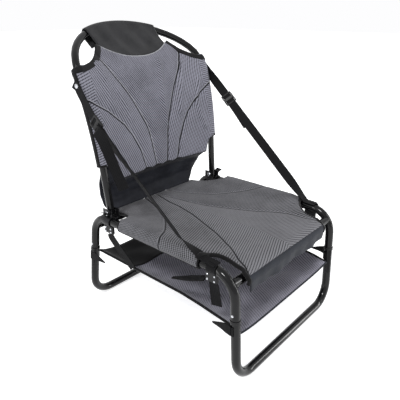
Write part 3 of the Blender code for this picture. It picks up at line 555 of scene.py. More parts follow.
def backPoint(x, length, forward=0.0):
    index = max(0, min(int(length * 1000), len(sideView) - 2))
    share = length * 1000 - index
    y = sideView[index][0] + (sideView[index + 1][0] - sideView[index][0]) * share
    z = sideView[index][1] + (sideView[index + 1][1] - sideView[index][1]) * share
    lean = leanAt(max(length, 0))
    return Vector((x, y - forward * math.cos(lean), z + forward * math.sin(lean)))


def backNormal(length):
    lean = leanAt(length)
    return Vector((0, -math.cos(lean), math.sin(lean)))


def backHalf(length):
    share = min(max(length / backrest["shoulder"], 0), 1)
    return backrest["halfLow"] + (backrest["halfTop"] - backrest["halfLow"]) * share


def tubeHalf(length):
    if length <= backrest["shoulder"]:
        return backHalf(length)
    rise = min((length - backrest["shoulder"]) / backrest["crown"], 1)
    return backrest["halfTop"] * math.sqrt(max(1 - rise * rise, 0))


def archLength(x):
    return backrest["shoulder"] + backrest["crown"] * math.sqrt(max(1 - (x / backrest["halfTop"]) ** 2, 0))


def roundHoop(side, x, length, degrees, radius):
    # A point round the hoop's tube: 90 degrees is in front of it and 0 on its outer side
    turn = math.radians(degrees)
    out = Vector((side * math.cos(turn), 0, 0)) + backNormal(length) * math.sin(turn)
    return backPoint(side * x, length) + out * radius


def seamGap(line, across, along):
    # Distance to a seam line on the flat cloth, positive on its outer side
    best, side = 9.0, 1
    for (ax, ay), (bx, by) in zip(line, line[1:]):
        dx, dy = bx - ax, by - ay
        share = max(0, min(1, ((across - ax) * dx + (along - ay) * dy) / (dx * dx + dy * dy)))
        gap = math.hypot(across - ax - dx * share, along - ay - dy * share)
        if gap < best:
            best = gap
            side = 1 if dx * (along - ay) - dy * (across - ax) < 0 else -1
    return best * side


def foldLift(folds, x, along):
    # Soft ridges: each fold is a line of (x, along) points with its height and half width
    return sum(height * math.exp(-(seamGap(line, x, along) / width) ** 2) for line, height, width in folds)


def layCloth(name, rows, flat, marks=None):
    # A grid primitive whose points are laid where the cloth goes, with its flat pattern as UV.
    # The pattern starts at 1 m, so that a mirrored one turns only left to right.
    down, across = len(rows) - 1, len(rows[0]) - 1
    deselectAll()
    bpy.ops.mesh.primitive_grid_add(x_subdivisions=across, y_subdivisions=down, size=1, enter_editmode=False)
    piece = bpy.context.object
    piece.name = name
    piece.data.name = name
    order = []
    for vertex in piece.data.vertices:
        column, row = round((vertex.co.x + 0.5) * across), round((vertex.co.y + 0.5) * down)
        order.append((row, column))
    for vertex, (row, column) in zip(piece.data.vertices, order):
        vertex.co = rows[row][column]
    while piece.data.uv_layers:
        piece.data.uv_layers.remove(piece.data.uv_layers[0])
    pattern = piece.data.uv_layers.new(name="flat")
    for loop in piece.data.loops:
        row, column = order[loop.vertex_index]
        pattern.data[loop.index].uv = (flat[row][column][0], flat[row][column][1] + 1.0)
    for key, values in (marks or {}).items():
        layer = piece.data.attributes.new(key, "FLOAT", "POINT")
        for index, (row, column) in enumerate(order):
            layer.data[index].value = values[row][column]
    bpy.ops.object.shade_smooth()
    return piece


def giveThickness(piece, thick):
    makeActive(piece)
    wall = piece.modifiers.new("clothThickness", "SOLIDIFY")
    wall.thickness = thick
    wall.offset = 0
    bpy.ops.object.modifier_apply(modifier=wall.name)
    bpy.ops.object.shade_smooth()


def tidyCloth(piece):
    # Points that fall together are merged, and faces without area go
    makeActive(piece)
    bpy.ops.object.mode_set(mode="EDIT")
    bpy.ops.mesh.select_all(action="SELECT")
    bpy.ops.mesh.remove_doubles(threshold=0.00005)
    bpy.ops.mesh.dissolve_degenerate(threshold=0.00005)
    bpy.ops.mesh.normals_make_consistent(inside=False)
    bpy.ops.object.mode_set(mode="OBJECT")


def finishCloth(piece, finish, body, nodes=()):
    piece.data.materials.clear()
    piece.data.materials.append(finishes[finish])
    if body:
        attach(piece, body)
    if nodes:
        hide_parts(*nodes)
    return piece


def bead(name, points, radius, finish, body):
    # Folded tape or cord sewn along an edge, drawn with a bevelled curve
    line = bpy.data.curves.new(name, "CURVE")
    line.dimensions = "3D"
    line.bevel_depth = radius
    line.bevel_resolution = 3
    line.use_fill_caps = True
    spline = line.splines.new("POLY")
    spline.points.add(len(points) - 1)
    for point, place in zip(spline.points, points):
        point.co = (*place, 1.0)
    piece = bpy.data.objects.new(name, line)
    scene.collection.objects.link(piece)
    makeActive(piece)
    bpy.ops.object.convert(target="MESH")
    piece = bpy.context.object
    pattern = piece.data.uv_layers[0] if piece.data.uv_layers else piece.data.uv_layers.new(name="flat")
    pattern.name = "flat"
    long = sum((b - a).length for a, b in zip(points, points[1:]))
    for item in pattern.data:
        item.uv = (item.uv[0] * long, item.uv[1] * radius * 6)
    bpy.ops.object.shade_smooth()
    return finishCloth(piece, finish, body)


def smoothLine(points, steps):
    # Catmull-Rom curve through the points
    out = []
    ends = [points[0] * 2 - points[1]] + list(points) + [points[-1] * 2 - points[-2]]
    for before, start, end, after in zip(ends, ends[1:], ends[2:], ends[3:]):
        for step in range(steps):
            t = step / steps
            out.append(0.5 * (2 * start + (end - before) * t
                              + (2 * before - 5 * start + 4 * end - after) * t * t
                              + (3 * start - before - 3 * end + after) * t ** 3))
    return out + [points[-1]]


# Backrest cover
coverLook = {
    "hem": 0.081, "mouth": 0.1255, "sleeveLow": 0.126, "sleeveTop": 0.362, "waist": 0.384, "sagTo": 0.40,
    "thick": 0.0030, "lead": 0.012, "sag": 0.016, "middleDip": 0.4,
    "panelColumns": 48, "wrapColumns": 10, "tuckColumns": 4,
    "wrapFrom": 60, "wrapTurn": 150, "tuck": 0.022,
    # half width of the panel against the length up the back, below and above the sleeves
    "outline": [(0.081, 0.172), (0.095, 0.176), (0.108, 0.181), (0.117, 0.186), (0.1225, 0.193),
                (0.1255, 0.2085)],
    "cutOut": [(0.3625, 0.2175), (0.364, 0.196), (0.370, 0.180), (0.378, 0.166), (0.390, 0.152),
               (0.402, 0.142), (0.414, 0.133), (0.427, 0.125)],
    "topRows": [0.3625, 0.3632, 0.364, 0.367, 0.370, 0.374, 0.378, 0.383, 0.388, 0.393, 0.398, 0.404, 0.410,
                0.416, 0.422, 0.427],
    # seams on the right half, as (x, length)
    "innerSeam": [(0.000, 0.020), (0.020, 0.081), (0.034, 0.176), (0.041, 0.200), (0.074, 0.270),
                  (0.086, 0.292), (0.113, 0.332), (0.138, 0.378), (0.150, 0.400)],
    "outerSeam": [(0.040, 0.020), (0.060, 0.081), (0.075, 0.137), (0.098, 0.182), (0.119, 0.212),
                  (0.165, 0.252), (0.217, 0.282), (0.250, 0.300)],
    # line, height and half width of each slack fold
    "folds": [
        ([(0.052, 0.362), (0.041, 0.322), (0.034, 0.281), (0.032, 0.220), (0.030, 0.190)], 0.0062, 0.0080),
        ([(0.128, 0.348), (0.111, 0.301), (0.098, 0.260), (0.086, 0.215)], 0.0060, 0.0065),
        ([(0.178, 0.295), (0.164, 0.261), (0.158, 0.224), (0.162, 0.193), (0.174, 0.160)], 0.0062, 0.0065),
        ([(-0.156, 0.368), (-0.154, 0.320), (-0.150, 0.260)], 0.0035, 0.010),
        ([(-0.118, 0.300), (-0.105, 0.262), (-0.098, 0.225)], 0.0030, 0.008),
    ],
    "loft": 0.0030, "loftReach": 0.018, "stitchDepth": 0.0022, "stitchReach": 0.0045,
}
pipingLook = {
    "length": 0.386, "rise": 0.036, "half": 0.116, "radius": 0.0017, "proud": 0.0030, "lineHalf": 0.118,
}


def panelForward(x, half):
    lead = coverLook["lead"]
    return lead - (lead * coverLook["middleDip"] + coverLook["sag"]) * max(1 - (x / half) ** 2, 0)


def pipingLength(x):
    # The sewn line between the cover and the head band rises towards both ends
    return pipingLook["length"] + pipingLook["rise"] * min(abs(x) / pipingLook["half"], 1.2) ** 2.4


def quiltLift(look, near):
    # The padding stands up between its seams and is drawn down along them
    loft = look["loft"] * (1 - math.exp(-(near / look["loftReach"]) ** 2))
    return loft - look["stitchDepth"] * math.exp(-(near / look["stitchReach"]) ** 2)


def coverRelief(x, length):
    inner = seamGap(coverLook["innerSeam"], abs(x), length)
    outer = seamGap(coverLook["outerSeam"], abs(x), length)
    lift = quiltLift(coverLook, min(abs(inner), abs(outer)))
    return inner, outer, lift + foldLift(coverLook["folds"], x, length)


def coverHalf(length):
    if length < coverLook["sleeveLow"]:
        return alongTable(coverLook["outline"], length)
    if length <= coverLook["sleeveTop"]:
        return tubeHalf(length)
    return alongTable(coverLook["cutOut"], length)


def sleevePlaces(side, half, length):
    # Round the outside of the hoop's tube, then a tuck inwards on the rear
    places = []
    for step in range(1, coverLook["wrapColumns"] + coverLook["tuckColumns"] + 1):
        angle = coverLook["wrapFrom"] - coverLook["wrapTurn"] * min(step / coverLook["wrapColumns"], 1)
        inwards = coverLook["tuck"] * max(0, (step - coverLook["wrapColumns"]) / coverLook["tuckColumns"])
        flatX = half + coverLook["lead"] * math.radians(90 - angle) + inwards
        place = roundHoop(side, half - inwards, length, angle, coverLook["lead"])
        places.append((place, (side * flatX, length)))
    return places


def backrestCover():
    lengths = evenly(coverLook["hem"], coverLook["mouth"], 11)
    lengths += evenly(coverLook["sleeveLow"], coverLook["sleeveTop"], 58) + coverLook["topRows"]
    columns = coverLook["panelColumns"]
    hooks = coverLook["wrapColumns"] + coverLook["tuckColumns"]
    rows, flat, inner, outer = [], [], [], []
    for length in lengths:
        half = coverHalf(length)
        sleeved = coverLook["sleeveLow"] <= length <= coverLook["sleeveTop"]
        places, gaps = [], []
        for step in range(-columns, columns + 1):
            x = half * step / columns
            # above the waist of the band the panel ends at the piping
            at = min(length, pipingLength(x)) if length > coverLook["waist"] else length
            gapIn, gapOut, lift = coverRelief(x, at)
            edge = max(0, 1 - abs(x) / tubeHalf(at)) if sleeved else 0.2
            forward = panelForward(x, tubeHalf(min(at, coverLook["sagTo"]))) + lift * min(edge * 12, 1)
            places.append((backPoint(x, at, forward), (x, at)))
            gaps.append((gapIn, gapOut))
        for side in (-1, 1):
            end = places[0 if side < 0 else -1][0]
            extra = [(end.copy(), (side * half, length)) for step in range(hooks)]
            if sleeved:
                extra = sleevePlaces(side, half, length)
            extraGaps = [(seamGap(coverLook["innerSeam"], abs(spot[0]), length),
                          seamGap(coverLook["outerSeam"], abs(spot[0]), length)) for place, spot in extra]
            if side < 0:
                places, gaps = extra[::-1] + places, extraGaps[::-1] + gaps
            else:
                places, gaps = places + extra, gaps + extraGaps
        rows.append([place for place, spot in places])
        flat.append([spot for place, spot in places])
        inner.append([gap[0] for gap in gaps])
        outer.append([gap[1] for gap in gaps])
    piece = layCloth("backrestCover", rows, flat, {"innerSeam": inner, "outerSeam": outer})
    tidyCloth(piece)
    giveThickness(piece, coverLook["thick"])
    return finishCloth(piece, "backMesh", "backrest", ["backrest_cover"])


cover = backrestCover()

coverTrimLook = {
    # shares of a tape's width, from just past its sewn line to its free edge
    "tapeShares": (-0.12, 0, 0.25, 0.5, 0.75, 0.95, 1.0), "tapeThick": 0.0016,
    "cutOutWidth": 0.0125, "cutOutLift": 0.0026, "sleeveWidth": 0.0200, "sleeveLift": 0.0020,
    "sleeveOut": 0.0150,
    "capLine": [(0.2500, 0.3608), (0.2350, 0.3608), (0.2190, 0.3608), (0.2060, 0.3615)],
    "sleeveLine": (0.128, 0.18, 0.24, 0.30, 0.358),
    "cutOutStart": (0.3618, 0.2190), "cutOutRadius": 0.0028,
    "mouthLength": 0.1256, "hemRadius": 0.0034, "hemProud": 0.0002,
    "lowerHalf": 0.172, "lowerRadius": 0.0032,
}


def coverSurface(x, length, lift):
    # A point on the face of the cover, also round the outside of its sleeves
    half = tubeHalf(length)
    if abs(x) <= half:
        forward = panelForward(x, tubeHalf(min(length, coverLook["sagTo"])))
        return backPoint(x, length, forward + coverRelief(x, length)[2] * 0.5 + lift)
    degrees = 90 - math.degrees((abs(x) - half) / coverLook["lead"])
    return roundHoop(math.copysign(1, x), half, length, degrees, coverLook["lead"] + lift)


def coverTape(name, line, width, lift):
    # Flat binding tape sewn on the cover along a line of (x, length), on the line's left
    points = smoothLine([Vector((x, length, 0)) for x, length in line], 5)
    shares = coverTrimLook["tapeShares"]
    edges = (0, len(shares) - 1)
    rows, flat, run = [], [], 0.0
    for index, point in enumerate(points):
        tangent = (points[min(index + 1, len(points) - 1)] - points[max(index - 1, 0)]).normalized()
        inward = Vector((-tangent.y, tangent.x, 0))
        run += (point - points[index - 1]).length if index else 0.0
        places = [point + inward * width * share for share in shares]
        rows.append([coverSurface(place.x, place.y, lift * (0.6 if i in edges else 1))
                     for i, place in enumerate(places)])
        flat.append([(width * i / edges[1], run) for i in range(len(shares))])
    piece = layCloth(name, rows, flat)
    giveThickness(piece, coverTrimLook["tapeThick"])
    return finishCloth(piece, "binding", "backrest")


def coverTrims():
    look = coverTrimLook
    made = []
    for sign, label in sides:
        rim = look["capLine"] + [(half, length) for length, half in coverLook["cutOut"][1:]]
        made.append(coverTape(f"cutOutTape_{label}", [(sign * x, length) for x, length in rim],
                              look["cutOutWidth"] * sign, look["cutOutLift"]))
        outside = [(sign * (tubeHalf(length) + look["sleeveOut"]), length) for length in look["sleeveLine"]]
        made.append(coverTape(f"sleeveTape_{label}", outside, -look["sleeveWidth"] * sign, look["sleeveLift"]))
        edge = [backPoint(sign * half, length, panelForward(half, tubeHalf(length)))
                for length, half in [look["cutOutStart"]] + coverLook["cutOut"]]
        made.append(bead(f"cutOutBinding_{label}", smoothLine(edge, 4), look["cutOutRadius"],
                         "binding", "backrest"))
        lower = [backPoint(sign * half, length, panelForward(half, tubeHalf(length)) + look["hemProud"])
                 for length, half in coverLook["outline"]]
        length = look["mouthLength"]
        mouth = [roundHoop(sign, tubeHalf(length), length, angle, coverLook["lead"])
                 for angle in evenly(90, -90, 12)]
        made.append(bead(f"coverHemBinding_{label}", lower + mouth, look["hemRadius"],
                         "binding", "backrest"))
    hem = []
    for x in evenly(-look["lowerHalf"], look["lowerHalf"], 40):
        hem.append(backPoint(x, coverLook["hem"], panelForward(x, tubeHalf(coverLook["hem"]))))
    made.append(bead("coverLowerBinding", hem, look["lowerRadius"], "binding", "backrest"))
    line = []
    for x in evenly(-pipingLook["lineHalf"], pipingLook["lineHalf"], 48):
        length = pipingLength(x)
        forward = panelForward(x, tubeHalf(min(length, coverLook["sagTo"])))
        line.append(backPoint(x, length, forward + pipingLook["proud"]))
    made.append(bead("bandPiping", line, pipingLook["radius"], "piping", "backrest"))
    return made


coverTrimPieces = coverTrims()
print("backrest cover made")


# Head band, left bare
bandLook = {
    "half": 0.116, "topShift": (-0.013, -0.007), "thick": 0.0032, "rearDrops": (0.010, 0.020, 0.030, 0.040),
    "columns": 52, "frontRows": 18, "proud": 0.0006, "wave": 0.0018, "rearWave": 0.0006,
}


def headBand():
    rows, flat = [], []
    wrap = coverLook["lead"]
    for across in evenly(-1, 1, bandLook["columns"]):
        lowX = bandLook["half"] * across
        low = pipingLength(lowX)
        x = lowX + bandLook["topShift"][0 if across < 0 else 1] * abs(across)
        top = archLength(x)
        row, pattern = [], []
        for share in evenly(0, 1, bandLook["frontRows"]):
            length = low + (top - low) * share
            sagHalf = max(tubeHalf(min(length, coverLook["sagTo"])), bandLook["half"] + 0.02)
            forward = panelForward(x, sagHalf)
            forward += (wrap - forward) * share ** 2 + bandLook["proud"]
            forward += bandLook["wave"] * math.sin(x * 95 + length * 30) * math.sin(share * math.pi)
            row.append(backPoint(lowX + (x - lowX) * share, length, forward))
            pattern.append((x, length))
        lean = leanAt(top)
        up = Vector((0, math.sin(lean), math.cos(lean)))
        share = x / backrest["halfTop"]
        slope = backrest["crown"] * x / backrest["halfTop"] ** 2 / math.sqrt(1 - share ** 2)
        for angle in evenly(75, -90, 11):
            turn = math.radians(angle)
            out = backNormal(top) * math.sin(turn) + up * math.cos(turn) * math.sqrt(1 + slope * slope)
            row.append(backPoint(x, top) + out * wrap)
            pattern.append((x, top + wrap * math.radians(90 - angle)))
        for drop in bandLook["rearDrops"]:
            row.append(backPoint(x, top - drop, -wrap - bandLook["rearWave"] * math.sin(x * 50)))
            pattern.append((x, top + wrap * math.pi + drop))
        rows.append(row)
        flat.append(pattern)
    piece = layCloth("headBand", rows, flat)
    tidyCloth(piece)
    giveThickness(piece, bandLook["thick"])
    return finishCloth(piece, "headCloth", "backrest", ["head_band"])


band = headBand()
print("head band made")


# Lumbar flap
flapLook = {
    "lowZ": 0.2796, "thick": 0.0036, "fall": 0.115, "rows": 30, "columns": 64,
    "startDrop": 0.0020, "startBack": 0.004, "cornerFrom": 0.168, "cornerRise": 1.8,
    "tuckDepth": 0.0035, "rollDepth": 0.0030,
    # share of the drop against how far back it lies, and against the half width on each side
    "back": [(0.0, 0.0), (0.20, 0.024), (0.44, 0.036), (0.66, 0.038), (0.86, 0.031), (1.0, 0.022)],
    "rightHalf": [(0.0, 0.172), (0.20, 0.172), (0.44, 0.170), (0.66, 0.162), (0.86, 0.146), (1.0, 0.132)],
    "leftHalf": [(0.0, 0.201), (0.20, 0.202), (0.44, 0.198), (0.66, 0.197), (0.86, 0.190), (1.0, 0.178)],
}


def lumbarFlap():
    middleForward = panelForward(0, backrest["halfLow"])
    hem = backPoint(0, coverLook["hem"], middleForward)
    startZ = hem.z - flapLook["startDrop"]
    rows, flat = [], []
    for drop in evenly(0, 1, flapLook["rows"]):
        row, pattern = [], []
        for share in evenly(-1, 1, flapLook["columns"]):
            x = share * alongTable(flapLook["rightHalf" if share > 0 else "leftHalf"], drop)
            shift = panelForward(share * flapLook["rightHalf"][0][1], backrest["halfLow"]) - middleForward
            back = alongTable(flapLook["back"], drop) - shift * (1 - drop)
            # tucks that run down from the hem and a slack roll low on the flap
            tuck = flapLook["tuckDepth"] * math.sin(drop * math.pi) * math.sin(x * 68 + 1.3 * drop)
            back += tuck * (0.4 + 0.6 * abs(share))
            back += flapLook["rollDepth"] * math.sin(drop * 9.0 + 2.0 * share) * math.sin(drop * math.pi)
            topZ = startZ + max(0, abs(x) - flapLook["cornerFrom"]) * flapLook["cornerRise"]
            y = hem.y + back + flapLook["startBack"] * (1 - drop)
            row.append(Vector((x, y, topZ + (flapLook["lowZ"] - topZ) * drop)))
            pattern.append((x, drop * flapLook["fall"]))
        rows.append(row)
        flat.append(pattern)
    piece = layCloth("lumbarFlap", rows, flat)
    giveThickness(piece, flapLook["thick"])
    finishCloth(piece, "lumbarCloth", None, ["lumbar_flap"])
    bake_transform(piece, "frame", "backrest", start=(0, 0.151, 0.279), end=(0, 0.129, 0.377))
    return piece


flap = lumbarFlap()
print("lumbar flap made")


# Seat cushion
seatLook = {
    "baseZ": 0.26877, "thick": 0.0105, "railX": 0.214, "railZ": 0.277, "sleeveRadius": 0.0147,
    "tubeY": -0.2772, "tubeZ": 0.252, "rollRadius": 0.01677, "rollHalf": 0.166, "rollTurn": 58,
    "rollLength": 0.022,
    "frontHalf": 0.164, "cornerDrop": 0.003,
    "shift": -0.010, "shiftFrom": -0.200, "shiftOver": 0.05,
    "rearRows": (0.176, 0.1757, 0.1747, 0.1730, 0.1705), "rearRound": 0.0055,
    "rearCut": 0.0684, "rearSleeve": 0.0663, "frontSleeve": -0.1947, "frontCut": -0.1967,
    # half width between the sleeves, and how far its edge lies above the middle, both against y
    "half": [(-0.2772, 0.164), (-0.2447, 0.162), (-0.2270, 0.167), (-0.2120, 0.177), (-0.2030, 0.188),
             (-0.1967, 0.198), (-0.1947, 0.200), (0.0663, 0.200), (0.0683, 0.196), (0.086, 0.178),
             (0.115, 0.166), (0.148, 0.162), (0.170, 0.160), (0.176, 0.156)],
    "rise": [(-0.2772, 0.003), (-0.2447, 0.007), (-0.2207, 0.013), (-0.1967, 0.018), (-0.1947, 0.020),
             (-0.165, 0.0245), (0.0413, 0.0245), (0.0663, 0.023), (0.0683, 0.021), (0.086, 0.016),
             (0.115, 0.009), (0.148, 0.003), (0.170, 0.001), (0.176, 0.0)],
    # seams on the right half, as (flat x, y)
    "innerSeam": [(0.000, 0.176), (0.003, 0.157), (0.018, 0.095), (0.022, 0.054), (0.038, -0.010),
                  (0.062, -0.070), (0.088, -0.133), (0.117, -0.186), (0.140, -0.240), (0.158, -0.280),
                  (0.168, -0.310)],
    "outerSeam": [(0.040, 0.190), (0.050, 0.150), (0.060, 0.120), (0.085, 0.067), (0.103, 0.030),
                  (0.143, -0.014), (0.175, -0.045), (0.205, -0.068), (0.225, -0.074), (0.260, -0.077),
                  (0.300, -0.078)],
    "loft": 0.0016, "loftReach": 0.015, "stitchDepth": 0.0020, "stitchReach": 0.0042,
}


def seatShift(y):
    # The front of the cushion sits a little to the left of the middle
    return seatLook["shift"] * min(max((seatLook["shiftFrom"] - y) / seatLook["shiftOver"], 0), 1)


def roundTube(x, degrees, radius):
    # A point round the front cross tube: 90 degrees is above it and 180 in front
    turn = math.radians(degrees)
    return Vector((x, seatLook["tubeY"] + radius * math.cos(turn),
                   seatLook["tubeZ"] + radius * math.sin(turn)))


def seatSection(y, sleeved):
    # Half outline from the top middle round to the bottom middle, as (x, height, flat u, is on top)
    half, rise = alongTable(seatLook["half"], y), alongTable(seatLook["rise"], y)
    thick = seatLook["thick"] / 2
    right = [(share * half, rise * share ** 2 + thick, share * half, True) for share in evenly(0, 0.94, 39)]
    flatU = right[-1][2]
    for step in range(16):
        if sleeved:
            turn = math.radians(90 - 215 * step / 15)
            outer = seatLook["sleeveRadius"]
            base = seatLook["railZ"] - seatLook["baseZ"]
            lift = thick + rise - base - outer
            x = seatLook["railX"] + outer * math.cos(turn)
            height = base + outer * math.sin(turn) + lift * max(math.sin(turn), 0) ** 2
        else:
            turn = math.radians(80 - 160 * step / 15)
            x, height = half - thick + thick * math.cos(turn), rise + thick * math.sin(turn)
        flatU += math.hypot(x - right[-1][0], height - right[-1][1])
        right.append((x, height, flatU, sleeved or step < 8))
    return right + [(share * half, rise * share ** 2 - thick, share * half, False)
                    for share in evenly(0.93, 0, 23)]


def seatLoop(y, along, section, base, normal, squeeze):
    # One loop of points round the cushion, with the flat place and the two seam gaps of each
    loop = []
    halfHere = max(alongTable(seatLook["half"], y), 0.1)
    riseHere = alongTable(seatLook["rise"], y)
    mirrored = [(-x, height, -flatU, top) for x, height, flatU, top in section[1:-1][::-1]]
    for x, height, flatU, top in section + mirrored + section[:1]:
        middle = riseHere * min(abs(x) / halfHere, 1) ** 2
        height = middle + (height - middle) * squeeze
        gaps = [seamGap(seatLook[seam], abs(flatU), along) for seam in ("innerSeam", "outerSeam")]
        if top:
            fade = 1 if abs(x) < 0.19 else 0.35
            height += quiltLift(seatLook, min(abs(gaps[0]), abs(gaps[1]))) * fade * squeeze
        else:
            gaps = [0.02, 0.02]
        loop.append((base + Vector((x + seatShift(base.y), 0, 0)) + normal * height, (flatU, along), *gaps))
    return loop


def seatCushion():
    stations = [(y, False) for y in seatLook["rearRows"]]
    stations += [(y, False) for y in evenly(seatLook["rearRows"][-1], seatLook["rearCut"], 22)[1:]]
    stations += [(y, True) for y in evenly(seatLook["rearSleeve"], seatLook["frontSleeve"], 58)]
    stations += [(y, False) for y in evenly(seatLook["frontCut"], seatLook["tubeY"], 18)]
    loops = []
    for y, sleeved in stations:
        back = min(max((seatLook["rearRows"][0] - y) / seatLook["rearRound"], 0), 1)
        squeeze = math.sqrt(max(1 - (1 - back) ** 2, 0))
        base = Vector((0, y, seatLook["baseZ"]))
        loops.append(seatLoop(y, y, seatSection(y, sleeved), base, Vector((0, 0, 1)), squeeze))
    # the front rolls over the cross tube and thins out under it
    frontY, frontHalf = seatLook["tubeY"], seatLook["frontHalf"]
    for step in range(1, 13):
        angle = 90 + seatLook["rollTurn"] * step / 12
        normal = Vector((0, math.cos(math.radians(angle)), math.sin(math.radians(angle))))
        ratio = 1 + (seatLook["rollHalf"] / frontHalf - 1) * min(step / 6, 1)
        droop = seatLook["cornerDrop"] * min(step / 4, 1)
        section = [(x * ratio, height - droop * min(abs(x) / frontHalf, 1) ** 2, u, top)
                   for x, height, u, top in seatSection(frontY, False)]
        squeeze = 1 if step < 10 else math.sqrt(max(1 - ((step - 9) / 3) ** 2, 0))
        along = frontY - seatLook["rollLength"] * math.radians(angle - 90)
        base = roundTube(0, angle, seatLook["rollRadius"])
        loops.append(seatLoop(frontY, along, section, base, normal, squeeze))
    rows, flat, inner, outer = ([[point[part] for point in loop] for loop in loops] for part in range(4))
    piece = layCloth("seatCushion", rows, flat, {"innerSeam": inner, "outerSeam": outer})
    tidyCloth(piece)
    bpy.ops.object.shade_smooth()
    return finishCloth(piece, "seatMesh", "frame", ["seat_cushion"])


cushion = seatCushion()
print("seat cushion made")

seatTrimLook = {
    "cornerStart": ((0.2265, -0.1930, 0.290), (0.2140, -0.1955, 0.2965)), "cornerRadius": 0.0050,
    "proud": 0.0015,
    "cornerYs": (-0.1985, -0.203, -0.212, -0.2207, -0.232, -0.2447, -0.2600, -0.2772),
    "rollAngles": (105, 120, 135, 148), "underAngles": (165, 182, 200), "underRadius": 0.0195,
    "rearYs": (0.067, 0.072, 0.079, 0.086, 0.100, 0.115, 0.132, 0.148, 0.160, 0.170, 0.1745),
    "rearRadius": 0.0042,
    "mouths": (("front", -0.1955), ("rear", 0.0671)), "mouthRound": 0.0138, "mouthRise": 0.0045,
    "mouthRadius": 0.0021,
    "stitchYs": (0.064, -0.192), "stitchAngle": -62, "stitchRound": 0.0150, "stitchRadius": 0.0011,
    "edgeAngle": 147, "edgeRound": 0.0214, "edgeRadius": 0.0012,
}


def seatTrims():
    look = seatTrimLook
    shift, frontHalf = seatLook["shift"], seatLook["frontHalf"]
    for sign, label in sides:
        edge = [Vector((sign * x, y, z)) for x, y, z in look["cornerStart"]]
        for y in look["cornerYs"]:
            half, rise = alongTable(seatLook["half"], y), alongTable(seatLook["rise"], y)
            edge.append(Vector((sign * half + seatShift(y), y, seatLook["baseZ"] + rise + look["proud"])))
        for angle in look["rollAngles"]:
            half = frontHalf + (seatLook["rollHalf"] - frontHalf) * min((angle - 90) / 29, 1)
            edge.append(roundTube(sign * half + shift, angle, seatLook["rollRadius"]))
        for angle in look["underAngles"]:
            edge.append(roundTube(sign * seatLook["rollHalf"] + shift, angle, look["underRadius"]))
        bead(f"frontCornerBinding_{label}", smoothLine(edge, 3), look["cornerRadius"],
             "binding", "frame")
        edge = []
        for y in look["rearYs"]:
            half, rise = alongTable(seatLook["half"], y), alongTable(seatLook["rise"], y)
            edge.append(Vector((sign * (half - 0.001), y, seatLook["baseZ"] + rise)))
        bead(f"rearCornerBinding_{label}", smoothLine(edge, 3), look["rearRadius"],
             "binding", "frame")
        for end, y in look["mouths"]:
            ring = []
            for angle in evenly(100, -135, 24):
                turn = math.radians(angle)
                rise = look["mouthRise"] * max(math.sin(turn), 0) if turn > 0 else 0
                ring.append(Vector((sign * (seatLook["railX"] + look["mouthRound"] * math.cos(turn)), y,
                                    seatLook["railZ"] + look["mouthRound"] * math.sin(turn) + rise)))
            bead(f"sleeveMouth_{end}_{label}", ring, look["mouthRadius"],
                 "binding", "frame")
        turn = math.radians(look["stitchAngle"])
        x = sign * (seatLook["railX"] + look["stitchRound"] * math.cos(turn))
        z = seatLook["railZ"] + look["stitchRound"] * math.sin(turn)
        under = [Vector((x, y, z)) for y in evenly(*look["stitchYs"], 29)]
        bead(f"sleeveStitch_{label}", under, look["stitchRadius"],
             "binding", "frame")
    line = [roundTube(x + shift, look["edgeAngle"], look["edgeRound"])
            for x in evenly(-frontHalf, frontHalf, 60)]
    bead("frontEdgePiping", line, look["edgeRadius"], "bandCloth", "frame")


seatTrims()
print("seat trims made")


# Front band of the cushion
frontBandLook = {
    "half": 0.166, "radius": 0.0207, "lowZ": 0.227, "lowBack": 0.004, "thick": 0.0026,
    "columns": 88, "roundRows": 12, "startAngle": 149, "endAngle": 196, "roundFlat": 0.017, "hangFlat": 0.019,
    "waves": (0.0022, 0.0014, 0.0012),
}


def cushionFrontBand():
    look = frontBandLook
    wide, narrow, upward = look["waves"]
    roundRows = look["roundRows"]
    rows, flat = [], []
    for down in range(2 * roundRows + 1):
        row, pattern = [], []
        for across in evenly(-look["half"], look["half"], look["columns"]):
            x = across + seatLook["shift"]
            if down <= roundRows:
                turned = (look["endAngle"] - look["startAngle"]) * down / roundRows
                place = roundTube(x, look["startAngle"] + turned, look["radius"])
                along = look["radius"] * math.radians(turned)
            else:
                start = roundTube(x, look["endAngle"], look["radius"])
                fall = (down - roundRows) / roundRows
                place = start.lerp(Vector((x, start.y + look["lowBack"], look["lowZ"])), fall)
                along = look["roundFlat"] + look["hangFlat"] * fall
            slack = (down / (2 * roundRows)) ** 1.5
            place.y += slack * (wide * math.sin(x * 46 + 0.8) + narrow * math.sin(x * 118) - look["lowBack"])
            place.z += upward * slack * math.sin(x * 37 + 2.0)
            row.append(place)
            pattern.append((x, along))
        rows.append(row)
        flat.append(pattern)
    piece = layCloth("cushionFrontBand", rows, flat)
    giveThickness(piece, look["thick"])
    return finishCloth(piece, "bandCloth", "frame", ["cushion_front_band"])


frontBand = cushionFrontBand()
print("front band made")


# Storage sling
slingLook = {
    "half": 0.199, "frontY": -0.2975, "rearY": 0.1943, "thick": 0.0026, "rows": 80, "columns": 88,
    "flatHalf": 0.23,
    # height of the rim and depth of the sag, both against y
    "rim": [(-0.2975, 0.134), (-0.26, 0.142), (-0.18, 0.152), (-0.12, 0.157), (0.1943, 0.158)],
    "depth": [(-0.2975, 0.007), (-0.27, 0.016), (-0.22, 0.030), (-0.15, 0.037), (-0.10, 0.040), (0.10, 0.040),
              (0.16, 0.031), (0.1943, 0.018)],
    "waves": (0.0035, 0.0016), "wavesFrom": 0.06,
    # the black sheet over the rear of the sling is painted shadow of the seat above it
    "shadeSheetFrom": 0.092, "shadeSheetHalf": 0.985, "shadeSheetProud": 0.0026, "shadeSheetThick": 0.0018,
    "endsIn": 0.002, "sideRadius": 0.0034, "endRadius": 0.0022,
}


